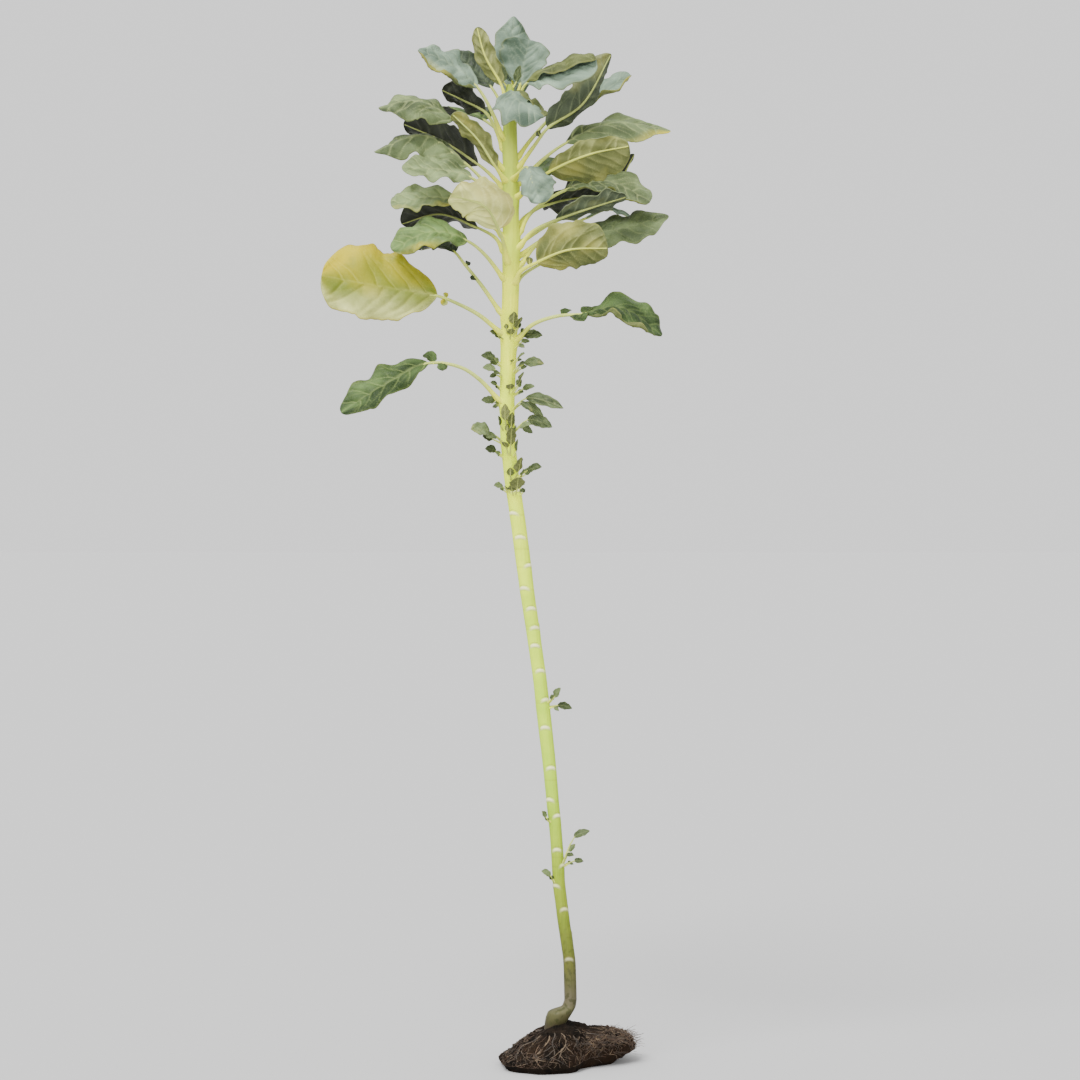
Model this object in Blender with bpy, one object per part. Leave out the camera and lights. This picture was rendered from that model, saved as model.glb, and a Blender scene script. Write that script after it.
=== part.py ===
# Walking stick kale: a tall bare stem with a leafy crown, standing on its own clod of roots and soil.
# Metres, +Z up. The origin lies on the flat underside of the clod, below the root collar.
# Facing the front of the plant, +X is to the right and +Y is away.

import math

import bmesh
import bpy
import numpy as np

CLEARANCE = 0.0003  # gap between touching pieces
BLADE_THICKNESS = 0.0013
RIB_END_RADIUS = 0.0009  # of a midrib at the leaf's tip
STALK_RADII = (0.0048, 0.0028)  # of a leaf stalk, at the stem and at the blade
TOP_STALK_RADII = (0.0038, 0.0025)
SHOOT_STALK_RADII = (0.0019, 0.0012)
STEM_SIDES = 10
ROOT_SIDES = 5
SMALL_BLADE_STEPS = 8  # sections along a smaller leaf's blade
ROUTE_STEPS = 24  # points read from a smooth route between two of its own points

# The stem's middle line: height, place to the side and radius, from the taproot to the growing tip.
STEM_LINE = (
    (0.030, -0.030, 0.009),
    (0.052, -0.026, 0.016),
    (0.077, -0.0205, 0.0198),
    (0.089, -0.0155, 0.0228),
    (0.100, -0.0100, 0.0240),
    (0.105, -0.0025, 0.0195),
    (0.109, 0.0055, 0.0130),
    (0.121, 0.0085, 0.0118),
    (0.196, 0.0066, 0.0113),
    (0.272, -0.005, 0.0113),
    (0.347, -0.014, 0.0113),
    (0.423, -0.018, 0.0113),
    (0.498, -0.025, 0.0116),
    (0.573, -0.032, 0.0123),
    (0.649, -0.0405, 0.0130),
    (0.724, -0.049, 0.0126),
    (0.800, -0.060, 0.0126),
    (0.875, -0.071, 0.0132),
    (0.950, -0.081, 0.0138),
    (1.026, -0.0905, 0.0141),
    (1.101, -0.102, 0.0141),
    (1.177, -0.110, 0.0139),
    (1.252, -0.111, 0.0138),
    (1.327, -0.109, 0.0150),
    (1.403, -0.106, 0.0155),
    (1.478, -0.104, 0.0160),
    (1.554, -0.104, 0.0158),
    (1.629, -0.104, 0.0150),
    (1.704, -0.105, 0.0141),
    (1.761, -0.1055, 0.0132),
    (1.799, -0.1055, 0.0120),
    (1.827, -0.1055, 0.0098),
    (1.846, -0.1055, 0.0055),
)

# Scars of fallen leaves that the front shows: height and bearing (0 right, 90 back, 270 front).
FRONT_SCARS = (
    (0.200, 270), (0.294, 295), (0.338, 230), (0.377, 332), (0.406, 270), (0.470, 305), (0.500, 235),
    (0.560, 282), (0.636, 268), (0.688, 305), (0.743, 287), (0.790, 270), (0.824, 295), (0.860, 287),
    (0.898, 245), (0.941, 319), (0.994, 270), (1.039, 233), (1.082, 294),
)
BACK_SCAR_HEIGHTS = (0.25, 1.12, 7)  # lowest, highest and how many
BACK_SCAR_BEARINGS = (40, 137.5, 110)  # first, step and the span that they stay in
SCAR_RELIEF = 0.0016
SCAR_HALF_HEIGHT = 0.006
SCAR_SPREAD = 38  # degrees round the stem

# Each large leaf: the height where it leaves the stem, the points of its stalk, the points of its
# midrib from the heel of the blade to the tip, the way its upper face looks at mid blade, the half
# widths left and right of the rib, and, where they differ from the usual, its outline, the lift of
# each half at the rib (fold) and by the edge (curl), the wave of its margin, and the leaflets on the
# stalk (share of the stalk, side, reach).
LEAVES = {
    "top_leaf_1": dict(
        stem=1.836, blade=((-0.101, 0.028, 1.857), (-0.103, 0.056, 1.919), (-0.099, 0.066, 1.990)),
        face=(0, -1, 0.3), width=(0.038, 0.038), outline=(0.5, 0.6), tone="glaucous", seed=1),
    "top_leaf_2": dict(
        stem=1.819, blade=((-0.087, 0.014, 1.847), (-0.080, 0.024, 1.888), (-0.070, 0.034, 1.937)),
        face=(0.1, -1, 0.35), width=(0.050, 0.044), outline=(0.6, 0.3), tone="glaucous", seed=2),
    "top_leaf_3": dict(
        stem=1.816, blade=((-0.122, -0.016, 1.843), (-0.152, -0.028, 1.895), (-0.167, -0.032, 1.948)),
        face=(0.1, 1, 0.2), width=(0.022, 0.024), outline=(0.5, 0.45), fold=(25, 35),
        tone="olive", small=True, seed=3),
    "top_leaf_4": dict(
        stem=1.795, blade=((-0.141, 0.045, 1.849), (-0.180, 0.080, 1.894), (-0.214, 0.095, 1.927)),
        face=(0, -0.8, 0.6), width=(0.026, 0.026), tone="glaucous", small=True, seed=5),
    "top_leaf_5": dict(
        stem=1.799, stalk=((-0.087, -0.004, 1.824),),
        blade=((-0.075, -0.016, 1.845), (-0.015, -0.044, 1.860), (0.056, -0.058, 1.881)),
        face=(-0.2, -0.7, 0.65), width=(0.046, 0.042), outline=(0.7, 0.28), fold=(30, 0),
        curl=(55, -20), tone="glaucous", seed=6),
    "top_leaf_6": dict(
        stem=1.806, blade=((-0.103, -0.024, 1.828), (-0.091, -0.072, 1.804), (-0.046, -0.114, 1.763)),
        face=(0.1, -0.6, 0.75), width=(0.044, 0.050), outline=(0.5, 0.4), fold=(-10, -10),
        curl=(-20, -30), tone="glaucous", seed=7),
    "left_leaf_1": dict(
        stem=1.742, stalk=((-0.141, -0.022, 1.795),),
        blade=((-0.166, -0.034, 1.835), (-0.212, -0.062, 1.869), (-0.275, -0.072, 1.897)),
        face=(0.2, -0.7, 0.7), width=(0.040, 0.040), outline=(0.5, 0.45), fold=(0, 5),
        curl=(-50, 0), tone="glaucous", seed=4),
    "left_leaf_2": dict(
        stem=1.685, stalk=((-0.157, -0.026, 1.734),),
        blade=((-0.211, -0.040, 1.773), (-0.275, -0.058, 1.803), (-0.349, -0.066, 1.790)),
        face=(0, -0.55, 0.85), width=(0.050, 0.040), outline=(0.5, 0.5), fold=(-5, 0),
        curl=(-30, -10), tone="glaucous", seed=20),
    "left_leaf_3": dict(
        stem=1.652, stalk=((-0.144, 0.026, 1.682),),
        blade=((-0.167, 0.040, 1.703), (-0.230, 0.066, 1.749), (-0.311, 0.078, 1.786)),
        face=(0, 0.6, 0.8), width=(0.046, 0.044), tone="shaded", small=True, seed=21),
    "left_leaf_4": dict(
        stem=1.723, stalk=((-0.132, 0.014, 1.763),),
        blade=((-0.153, 0.022, 1.799), (-0.194, 0.038, 1.824), (-0.236, 0.046, 1.845)),
        face=(0, 0.6, 0.8), width=(0.034, 0.030), tone="shaded", small=True, seed=22),
    "left_leaf_5": dict(
        stem=1.663, blade=((-0.131, -0.030, 1.685), (-0.164, -0.050, 1.734), (-0.212, -0.068, 1.779)),
        face=(0.5, 0.8, 0.4), width=(0.023, 0.022), outline=(0.5, 0.4), fold=(15, 15),
        tone="olive", small=True, seed=23),
    "left_leaf_6": dict(
        stem=1.621, stalk=((-0.150, -0.022, 1.656),),
        blade=((-0.183, -0.034, 1.688), (-0.264, -0.056, 1.740), (-0.357, -0.066, 1.709)),
        face=(0.1, -0.5, 0.85), width=(0.042, 0.034), outline=(0.5, 0.5), fold=(-35, -10),
        curl=(-30, -10), tone="green", seed=24),
    "left_leaf_7": dict(
        stem=1.587, stalk=((-0.138, -0.048, 1.630),),
        blade=((-0.175, -0.066, 1.660), (-0.237, -0.086, 1.672), (-0.304, -0.096, 1.674)),
        face=(0, -0.75, 0.65), width=(0.036, 0.032), tone="green", seed=25),
    "left_leaf_8": dict(
        stem=1.557, stalk=((-0.154, -0.030, 1.598),),
        blade=((-0.202, -0.042, 1.619), (-0.257, -0.056, 1.625), (-0.325, -0.070, 1.608)),
        face=(0, -0.7, 0.7), width=(0.038, 0.034), outline=(0.5, 0.4), tone="green", seed=26),
    "left_leaf_9": dict(
        stem=1.531, stalk=((-0.133, 0.022, 1.560),),
        blade=((-0.167, 0.034, 1.581), (-0.241, 0.066, 1.612), (-0.315, 0.084, 1.595)),
        face=(0, 0.5, 0.85), width=(0.044, 0.040), tone="shaded", small=True, seed=27),
    "left_leaf_10": dict(
        stem=1.478, stalk=((-0.153, -0.044, 1.522),),
        blade=((-0.184, -0.062, 1.544), (-0.248, -0.088, 1.557), (-0.322, -0.104, 1.522)),
        face=(0, -0.8, 0.6), width=(0.036, 0.036), outline=(0.5, 0.45), curl=(-20, -20),
        tone="green", seed=29),
    "left_leaf_11": dict(
        stem=1.414, stalk=((-0.158, -0.006, 1.466), (-0.194, 0.004, 1.512)),
        blade=((-0.210, 0.010, 1.532), (-0.240, 0.040, 1.547), (-0.279, 0.070, 1.543)),
        face=(0, -0.3, 0.95), width=(0.036, 0.032), leaflets=((0.55, 0, 0.012), (0.8, 1, 0.012)),
        tone="shaded", small=True, seed=30),
    "front_leaf_1": dict(
        stem=1.667, stalk=((-0.090, -0.034, 1.673),),
        blade=((-0.074, -0.058, 1.682), (-0.063, -0.084, 1.652), (-0.048, -0.092, 1.610)),
        face=(0.1, -0.95, 0.3), width=(0.046, 0.026), outline=(0.4, 0.45), fold=(-20, -20),
        tone="glaucous", seed=12),
    "front_leaf_2": dict(
        stem=1.508, stalk=((-0.116, -0.034, 1.538),),
        blade=((-0.126, -0.060, 1.566), (-0.151, -0.104, 1.603), (-0.212, -0.128, 1.620)),
        face=(0.2, 0.7, 0.6), width=(0.050, 0.056), outline=(0.4, 0.4), fold=(5, 5),
        curl=(20, 20), tone="pale", seed=28),
    "right_leaf_1": dict(
        stem=1.689, stalk=((-0.060, -0.006, 1.730),),
        blade=((-0.034, -0.006, 1.764), (0.030, -0.002, 1.809), (0.085, 0.006, 1.905)),
        face=(-0.6, 0.6, 0.3), width=(0.040, 0.044), outline=(0.45, 0.5), fold=(10, 10),
        curl=(20, 30), leaflets=((0.8, 1, 0.012),), tone="shaded", seed=8),
    "right_leaf_2": dict(
        stem=1.708, stalk=((-0.064, 0.026, 1.750),),
        blade=((-0.019, 0.052, 1.800), (0.057, 0.074, 1.837), (0.125, 0.080, 1.880)),
        face=(-0.2, -0.65, 0.7), width=(0.034, 0.036), outline=(0.5, 0.35),
        tone="glaucous", small=True, seed=9),
    "right_leaf_3": dict(
        stem=1.659, stalk=((-0.049, 0.008, 1.702),),
        blade=((0.000, 0.016, 1.739), (0.091, 0.034, 1.778), (0.200, 0.042, 1.766)),
        face=(-0.1, -0.35, 0.93), width=(0.042, 0.048), outline=(0.6, 0.5), fold=(10, -10),
        curl=(0, -60), tone="green", seed=10),
    "right_leaf_4": dict(
        stem=1.633, stalk=((-0.067, -0.026, 1.651),),
        blade=((-0.032, -0.046, 1.675), (0.044, -0.078, 1.703), (0.116, -0.088, 1.716)),
        face=(0, 0.85, 0.5), width=(0.060, 0.028), outline=(0.5, 0.4), fold=(5, 5),
        curl=(10, 10), tone="olive", seed=11),
    "right_leaf_5": dict(
        stem=1.576, stalk=((-0.080, 0.024, 1.598),),
        blade=((-0.042, 0.050, 1.625), (0.017, 0.092, 1.646), (0.093, 0.120, 1.654)),
        face=(-0.2, 0.5, 0.8), width=(0.046, 0.046), tone="shaded", small=True, seed=13),
    "right_leaf_6": dict(
        stem=1.565, stalk=((-0.068, 0.008, 1.604),),
        blade=((0.000, 0.014, 1.650), (0.079, 0.010, 1.664), (0.158, 0.000, 1.625)),
        face=(0.15, -0.6, 0.8), width=(0.044, 0.044), outline=(0.55, 0.35), fold=(10, 5),
        curl=(0, -20), tone="glaucous", seed=14),
    "right_leaf_7": dict(
        stem=1.546, stalk=((-0.034, 0.060, 1.590),),
        blade=((0.069, 0.085, 1.641), (0.104, 0.088, 1.680), (0.132, 0.084, 1.729)),
        face=(-0.7, 0.5, 0.2), width=(0.015, 0.015), fold=(30, 30), tone="shaded", small=True, seed=15),
    "right_leaf_8": dict(
        stem=1.538, stalk=((-0.064, -0.018, 1.566),),
        blade=((-0.019, -0.034, 1.587), (0.048, -0.052, 1.608), (0.112, -0.056, 1.627)),
        face=(-0.2, 0.6, 0.75), width=(0.024, 0.028), tone="olive", small=True, seed=16),
    "right_leaf_9": dict(
        stem=1.504, stalk=((-0.049, 0.004, 1.550),),
        blade=((0.026, 0.010, 1.564), (0.098, 0.006, 1.573), (0.194, 0.004, 1.599)),
        face=(0, -0.65, 0.75), width=(0.042, 0.040), outline=(0.5, 0.5), fold=(5, 0),
        curl=(0, -30), tone="shaded", seed=17),
    "right_leaf_10": dict(
        stem=1.523, stalk=((-0.040, 0.040, 1.562),),
        blade=((0.034, 0.054, 1.600), (0.082, 0.054, 1.619), (0.129, 0.046, 1.599)),
        face=(0, -0.5, 0.85), width=(0.010, 0.010), tone="glaucous", small=True, seed=18),
    "right_leaf_11": dict(
        stem=1.471, stalk=((-0.086, -0.030, 1.490),),
        blade=((-0.054, -0.048, 1.506), (0.004, -0.082, 1.525), (0.076, -0.098, 1.526)),
        face=(0.1, 0.9, 0.35), width=(0.046, 0.054), outline=(0.45, 0.4), fold=(5, 5),
        curl=(20, 30), leaflets=((0.75, 1, 0.014),), tone="olive", seed=19),
    "low_leaf_1": dict(
        stem=1.376, stalk=((-0.161, -0.028, 1.408), (-0.198, -0.044, 1.427)),
        blade=((-0.240, -0.060, 1.442), (-0.334, -0.090, 1.454), (-0.453, -0.104, 1.474)),
        face=(0, -0.92, 0.35), width=(0.066, 0.080), outline=(0.62, 0.4), fold=(-5, 5),
        curl=(-10, -10), leaflets=((0.9, 0, 0.014), (0.9, 1, 0.010)), tone="yellow", seed=31),
    "low_leaf_2": dict(
        stem=1.365, stalk=((-0.064, -0.016, 1.392), (-0.019, -0.030, 1.407)),
        blade=((0.034, -0.046, 1.410), (0.100, -0.066, 1.419), (0.176, -0.080, 1.366)),
        face=(0.15, -0.55, 0.85), width=(0.040, 0.040), outline=(0.5, 0.4), curl=(0, -40),
        leaflets=((0.7, 0, 0.020), (0.85, 1, 0.016)), tone="shaded", seed=32),
    "low_leaf_3": dict(
        stem=1.248, stalk=((-0.161, -0.026, 1.288), (-0.198, -0.040, 1.311)),
        blade=((-0.257, -0.056, 1.317), (-0.333, -0.078, 1.277), (-0.416, -0.088, 1.223)),
        face=(-0.3, -0.8, 0.5), width=(0.036, 0.040), outline=(0.6, 0.5), curl=(-10, -10),
        leaflets=((0.6, 0, 0.014), (0.8, 1, 0.018)), tone="green", seed=33),
    "back_leaf_1": dict(
        stem=1.731, stalk=((-0.126, 0.060, 1.767),),
        blade=((-0.156, 0.095, 1.796), (-0.197, 0.150, 1.822), (-0.249, 0.215, 1.814)),
        face=(0, -0.2, 1), width=(0.048, 0.048), tone="green", small=True, seed=34),
    "back_leaf_2": dict(
        stem=1.606, stalk=((-0.088, 0.060, 1.645),),
        blade=((-0.050, 0.100, 1.682), (-0.002, 0.160, 1.718), (0.059, 0.222, 1.724)),
        face=(0, -0.2, 1), width=(0.050, 0.050), tone="green", small=True, seed=35),
    "back_leaf_3": dict(
        stem=1.546, stalk=((-0.126, 0.060, 1.576),),
        blade=((-0.166, 0.100, 1.605), (-0.207, 0.160, 1.628), (-0.249, 0.225, 1.617)),
        face=(0, -0.2, 1), width=(0.048, 0.048), tone="green", small=True, seed=36),
    "back_leaf_4": dict(
        stem=1.455, stalk=((-0.084, 0.060, 1.492),),
        blade=((-0.040, 0.100, 1.524), (0.012, 0.160, 1.554), (0.063, 0.215, 1.549)),
        face=(0, -0.2, 1), width=(0.050, 0.050), tone="green", small=True, seed=37),
    "back_leaf_5": dict(
        stem=1.772, stalk=((-0.103, 0.050, 1.808),),
        blade=((-0.100, 0.080, 1.840), (-0.093, 0.130, 1.880), (-0.083, 0.190, 1.880)),
        face=(0, -0.2, 1), width=(0.042, 0.042), tone="glaucous", small=True, seed=38),
}

# Small leaves of the side shoots and of the growing tip, which are one piece with the stem: height
# on the stem, bearing, reach out and rise to the heel, blade length and half width, and pitch.
SHOOT_LEAVES = (
    (1.365, 300, 0.014, 0.020, 0.030, 0.011, 50), (1.375, 285, 0.016, 0.018, 0.026, 0.010, 75),
    (1.345, 352, 0.014, 0.026, 0.036, 0.012, 10), (1.318, 315, 0.012, 0.012, 0.020, 0.008, 30),
    (1.300, 345, 0.018, 0.020, 0.038, 0.012, 5), (1.262, 310, 0.018, 0.018, 0.030, 0.015, 55),
    (1.258, 350, 0.016, 0.014, 0.024, 0.008, 20), (1.232, 345, 0.022, 0.022, 0.074, 0.014, -8),
    (1.188, 350, 0.024, 0.026, 0.048, 0.014, -10), (1.192, 262, 0.012, 0.020, 0.036, 0.009, 80),
    (1.180, 285, 0.012, 0.022, 0.030, 0.008, 70), (1.142, 275, 0.016, 0.024, 0.046, 0.010, 55),
    (1.100, 295, 0.014, 0.016, 0.034, 0.013, 65), (1.104, 335, 0.018, 0.014, 0.032, 0.011, 20),
    (1.070, 280, 0.016, 0.014, 0.028, 0.015, 60), (1.365, 195, 0.008, 0.010, 0.016, 0.007, 30),
    (1.315, 188, 0.010, 0.014, 0.028, 0.011, 20), (1.294, 200, 0.010, 0.014, 0.026, 0.010, 15),
    (1.270, 190, 0.006, 0.010, 0.014, 0.006, 30), (1.232, 185, 0.010, 0.016, 0.026, 0.010, 15),
    (1.170, 205, 0.024, 0.020, 0.040, 0.018, 15), (1.143, 190, 0.012, 0.012, 0.022, 0.010, 20),
    (1.075, 215, 0.010, 0.012, 0.022, 0.009, 15), (0.680, 345, 0.010, 0.012, 0.024, 0.008, 60),
    (0.672, 5, 0.014, 0.004, 0.028, 0.008, -5), (0.456, 200, 0.006, 0.010, 0.016, 0.006, 60),
    (0.370, 350, 0.020, 0.058, 0.034, 0.009, 30), (0.372, 10, 0.020, 0.010, 0.018, 0.006, 5),
    (0.338, 200, 0.006, 0.018, 0.022, 0.008, 35),
    (1.836, 330, 0.006, 0.014, 0.036, 0.010, 76), (1.838, 178, 0.005, 0.014, 0.040, 0.010, 82),
)
SHOOT_SUNK = 0.006  # how far a side leaf's root goes into the stem
SHOOT_TURN = 1.4  # how much the side leaves turn to the front

# The clod, seen from above: reach from its middle at each bearing.
CLOD_MIDDLE = (-0.010, 0.0)
CLOD_BEARINGS = (0, 20, 40, 60, 90, 120, 150, 180, 210, 242, 270, 306, 335, 360)
CLOD_REACH = (0.128, 0.148, 0.132, 0.112, 0.098, 0.100, 0.106, 0.114, 0.120, 0.116, 0.088, 0.068, 0.082, 0.128)
CLOD_HEIGHT = 0.079
CLOD_BULGE = 0.013  # height of its widest part
CLOD_FOOT = 0.90  # share of the reach that is flat on the ground
CLOD_LIFT = 0.013  # how much higher its widest part is at the right end
CLOD_TUCK = 0.20  # how much less of the reach is flat there
CLOD_LUMPS = 0.0045
CLOD_SEGMENTS = 22
CLOD_RINGS = 6
CLOD_DROP = 0.014  # how much lower the right shoulder is
CLOD_SHOULDER = 0.04  # over this distance right of the origin
CLOD_SQUARENESS = (2.45, 1.25)  # 2 is round: the usual and what the right side has more

# Main roots over the clod: bearing at the collar, bearing at the end, and the share of the way down.
ROOTS = (
    (246, 250, 0.97), (262, 256, 0.93), (276, 268, 0.95), (228, 214, 0.80), (300, 296, 0.72),
    (345, 352, 0.86), (20, 12, 0.80), (75, 84, 0.92), (120, 132, 0.90), (168, 176, 0.85),
)
ROOT_RADII = (0.0042, 0.0013)
ROOT_POINTS = 6
ROOT_HEIGHT = 0.066  # where the roots leave the taproot
ROOT_SUNK = 0.008  # how far a root's start goes into the taproot
ROOT_START = 0.42  # share of the way down where a root reaches the surface
ROOT_ROOM = 0.0006  # between a root and its groove
ROOT_SWING = (4, 5)  # sideways wander in degrees, and its pace

TONES = {
    "glaucous": ((0.30, 0.44, 0.36), 0.62),
    "green": ((0.22, 0.34, 0.17), 0.60),
    "shaded": ((0.10, 0.15, 0.09), 0.65),
    "olive": ((0.32, 0.36, 0.12), 0.60),
    "pale": ((0.55, 0.62, 0.38), 0.60),
    "yellow": ((0.58, 0.52, 0.10), 0.58),
    "stem": ((0.55, 0.58, 0.25), 0.55),
    "soil": ((0.035, 0.024, 0.015), 0.95),
}


def clear_scene():
    for item in list(bpy.data.objects):
        bpy.data.objects.remove(item, do_unlink=True)


def new_collection(name):
    collection = bpy.data.collections.new(name)
    bpy.context.scene.collection.children.link(collection)
    return collection


def make_material(name, tone):
    colour, roughness = TONES[tone]
    material = bpy.data.materials.new(name)
    material.use_nodes = True
    shader = material.node_tree.nodes["Principled BSDF"]
    shader.inputs["Base Color"].default_value = (*colour, 1)
    shader.inputs["Roughness"].default_value = roughness
    shader.inputs["Metallic"].default_value = 0
    material.diffuse_color = (*colour, 1)
    return material


def add_object(name, points, faces, collection, tone):
    mesh = bpy.data.meshes.new(name)
    mesh.from_pydata([tuple(point) for point in points], [], faces)
    shape = bmesh.new()
    shape.from_mesh(mesh)
    bmesh.ops.recalc_face_normals(shape, faces=shape.faces)
    shape.to_mesh(mesh)
    shape.free()
    mesh.materials.append(make_material(name, tone))
    mesh.shade_smooth()
    mesh.set_sharp_from_angle(angle=math.radians(50))
    item = bpy.data.objects.new(name, mesh)
    collection.objects.link(item)
    return item


def unit(vector):
    vector = np.asarray(vector, float)
    return vector / np.linalg.norm(vector)


def compass(bearing):
    """A level direction: 0 is right, 90 is back, 270 is front."""
    angle = math.radians(bearing)
    return np.array([math.cos(angle), math.sin(angle), 0.0])


def smooth_route(points):
    """A centripetal curve through the points, read closely, with the length up to each point of it."""
    knots = np.asarray(points, float)
    knots = np.vstack([2 * knots[0] - knots[1], knots, 2 * knots[-1] - knots[-2]])
    gaps = np.sqrt(np.linalg.norm(np.diff(knots, axis=0), axis=1))
    times = np.concatenate([[0], np.cumsum(gaps)])
    route = []
    for first in range(len(knots) - 3):
        p0, p1, p2, p3 = knots[first:first + 4]
        t0, t1, t2, t3 = times[first:first + 4]
        for t in np.linspace(t1, t2, ROUTE_STEPS, endpoint=False):
            a1 = ((t1 - t) * p0 + (t - t0) * p1) / (t1 - t0)
            a2 = ((t2 - t) * p1 + (t - t1) * p2) / (t2 - t1)
            a3 = ((t3 - t) * p2 + (t - t2) * p3) / (t3 - t2)
            b1 = ((t2 - t) * a1 + (t - t0) * a2) / (t2 - t0)
            b2 = ((t3 - t) * a2 + (t - t1) * a3) / (t3 - t1)
            route.append(((t2 - t) * b1 + (t - t1) * b2) / (t2 - t1))
    route.append(knots[-2])
    route = np.array(route)
    steps = np.linalg.norm(np.diff(route, axis=0), axis=1)
    return route, np.concatenate([[0], np.cumsum(steps)])


def read_route(route, lengths, places):
    """Points and directions of the route at these lengths along it."""
    near = 0.01 * lengths[-1]

    def at(where):
        where = np.clip(where, 0, lengths[-1])
        return np.stack([np.interp(where, lengths, route[:, axis]) for axis in range(3)], axis=-1)

    ways = at(places + near) - at(places - near)
    return at(places), ways / np.linalg.norm(ways, axis=1)[:, None]


def carried_normals(ways, middle, face):
    """Normals carried from the middle section both ways without turning about the route."""
    normals = np.zeros_like(ways)
    face = np.asarray(face, float)
    normals[middle] = unit(face - np.dot(face, ways[middle]) * ways[middle])
    for order in (range(middle + 1, len(ways)), range(middle - 1, -1, -1)):
        last = middle
        for i in order:
            normal = normals[last]
            axis = np.cross(ways[last], ways[i])
            turn = np.linalg.norm(axis)
            if turn > 1e-9:
                axis = axis / turn
                cosine = np.dot(ways[last], ways[i])
                normal = normal * cosine + np.cross(axis, normal) * turn
                normal = normal + axis * np.dot(axis, normals[last]) * (1 - cosine)
            normals[i] = unit(normal - np.dot(normal, ways[i]) * ways[i])
            last = i
    return normals


def outline_share(share, outline):
    """Half width along the blade, 1 at its widest: the first power shapes the heel, the second the tip."""
    heel, tip = outline
    widest = heel / (heel + tip)
    most = widest ** heel * (1 - widest) ** tip
    return np.clip(share, 0, 1) ** heel * np.clip(1 - share, 0, 1) ** tip / most


def leaf_mesh(start, outward, stalk, blade, face, width, outline=(0.55, 0.45), fold=(12, 12), curl=(0, 0),
              wave=(0.006, 2.5), ripple=0.06, radii=STALK_RADII, leaflets=(), seed=1,
              columns=(0.55, 1.0), stalk_steps=4, blade_steps=10):
    """One leaf as a loft: ten or six points to a section, a round stalk that opens into a thin blade.

    Both faces of the blade are split into triangles along the same diagonals."""
    phases = np.random.default_rng(seed).uniform(0, 2 * math.pi, 4)
    route, lengths = smooth_route([start, *stalk, *blade])
    heel = lengths[(len(stalk) + 1) * ROUTE_STEPS]
    even = np.linspace(0, 1, blade_steps + 1)
    shares = 0.55 * (1 - np.cos(math.pi * even)) / 2 + 0.45 * even
    on_stalk = np.linspace(0, 1, stalk_steps + 1)[:-1]
    places = np.concatenate([heel * on_stalk, heel + (lengths[-1] - heel) * shares])
    shares = np.concatenate([np.full(stalk_steps, -1.0), shares])
    on_stalk = np.concatenate([on_stalk, np.ones(blade_steps + 1)])
    middles, ways = read_route(route, lengths, places)
    normals = carried_normals(ways, stalk_steps + blade_steps // 2, face)
    # The first section lies along the side of the stem.
    ways[0] = outward
    normals[0] = unit(normals[0] - np.dot(normals[0], outward) * outward)
    sides = np.cross(ways, normals)

    blade_radii = RIB_END_RADIUS + (radii[1] - RIB_END_RADIUS) * (1 - np.clip(shares, 0, 1)) ** 0.8
    rib = np.where(shares < 0, radii[0] + (radii[1] - radii[0]) * on_stalk, blade_radii)
    reaches = []
    for half in (0, 1):
        reach = np.where(shares < 0, 0, width[half] * outline_share(shares, outline))
        reach = reach * (1 + ripple * np.sin(7.4 * math.pi * np.clip(shares, 0, 1) + phases[half]))
        for place, side, size in leaflets:
            if side == half:
                reach[round(place * stalk_steps)] = size
        reaches.append(reach)

    ring = len(columns)
    angles = [math.radians(90 - 180 / (4 * ring + 2) * 2 * (column + 1)) for column in range(ring)]
    count = 2 * ring + 1
    skin = np.zeros((len(places), count, 3))
    halves = np.zeros((len(places), count, 2))
    roundness = np.zeros((len(places), count))
    thin = BLADE_THICKNESS / 2
    for i, share in enumerate(np.clip(shares, 0, 1)):
        radius = rib[i]
        spare = max(reaches[0][i], reaches[1][i], radius) - radius
        tube = math.exp(-(spare / (1.5 * radius)) ** 2)
        skin[i, ring] = middles[i]
        halves[i, ring] = (1.2 * thin + (radius - 1.2 * thin) * tube, radius)
        roundness[i, ring] = tube
        fade = max(math.sin(math.pi * share), 0) ** 0.6
        for half, sign in ((0, -1), (1, 1)):
            spare = max(reaches[half][i] - radius, 0)
            tube = math.exp(-(spare / (1.5 * radius)) ** 2)
            for place, column in enumerate(columns):
                part = (np.arange(12) + 0.5) / 12 * column
                slope = np.radians(fold[half] + curl[half] * part)
                out = radius * math.cos(angles[place]) + spare * column * np.mean(np.cos(slope))
                lift = spare * column * np.mean(np.sin(slope))
                swing = math.sin(2 * math.pi * wave[1] * share + phases[2 + half])
                lift += wave[0] * min(1, spare / 0.02) * fade * column ** 2 * swing
                j = ring + sign * (place + 1)
                skin[i, j] = middles[i] + sign * out * sides[i] + lift * normals[i]
                halves[i, j] = thin + max(radius * math.sin(angles[place]) - thin, 0) * tube
                roundness[i, j] = tube

    up = np.cross(np.gradient(skin, axis=1), np.gradient(skin, axis=0))
    up = up / np.linalg.norm(up, axis=2)[..., None]
    up = up * np.sign(np.sum(up[:, ring] * normals, axis=1))[:, None, None]
    up = roundness[..., None] * normals[:, None, :] + (1 - roundness[..., None]) * up
    up = up / np.linalg.norm(up, axis=2)[..., None]
    upper = skin + up * halves[..., :1]
    lower = skin - up * halves[..., 1:]
    points = np.concatenate([upper, lower[:, ::-1]], axis=1).reshape(-1, 3)
    return points, leaf_faces(skin)


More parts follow.
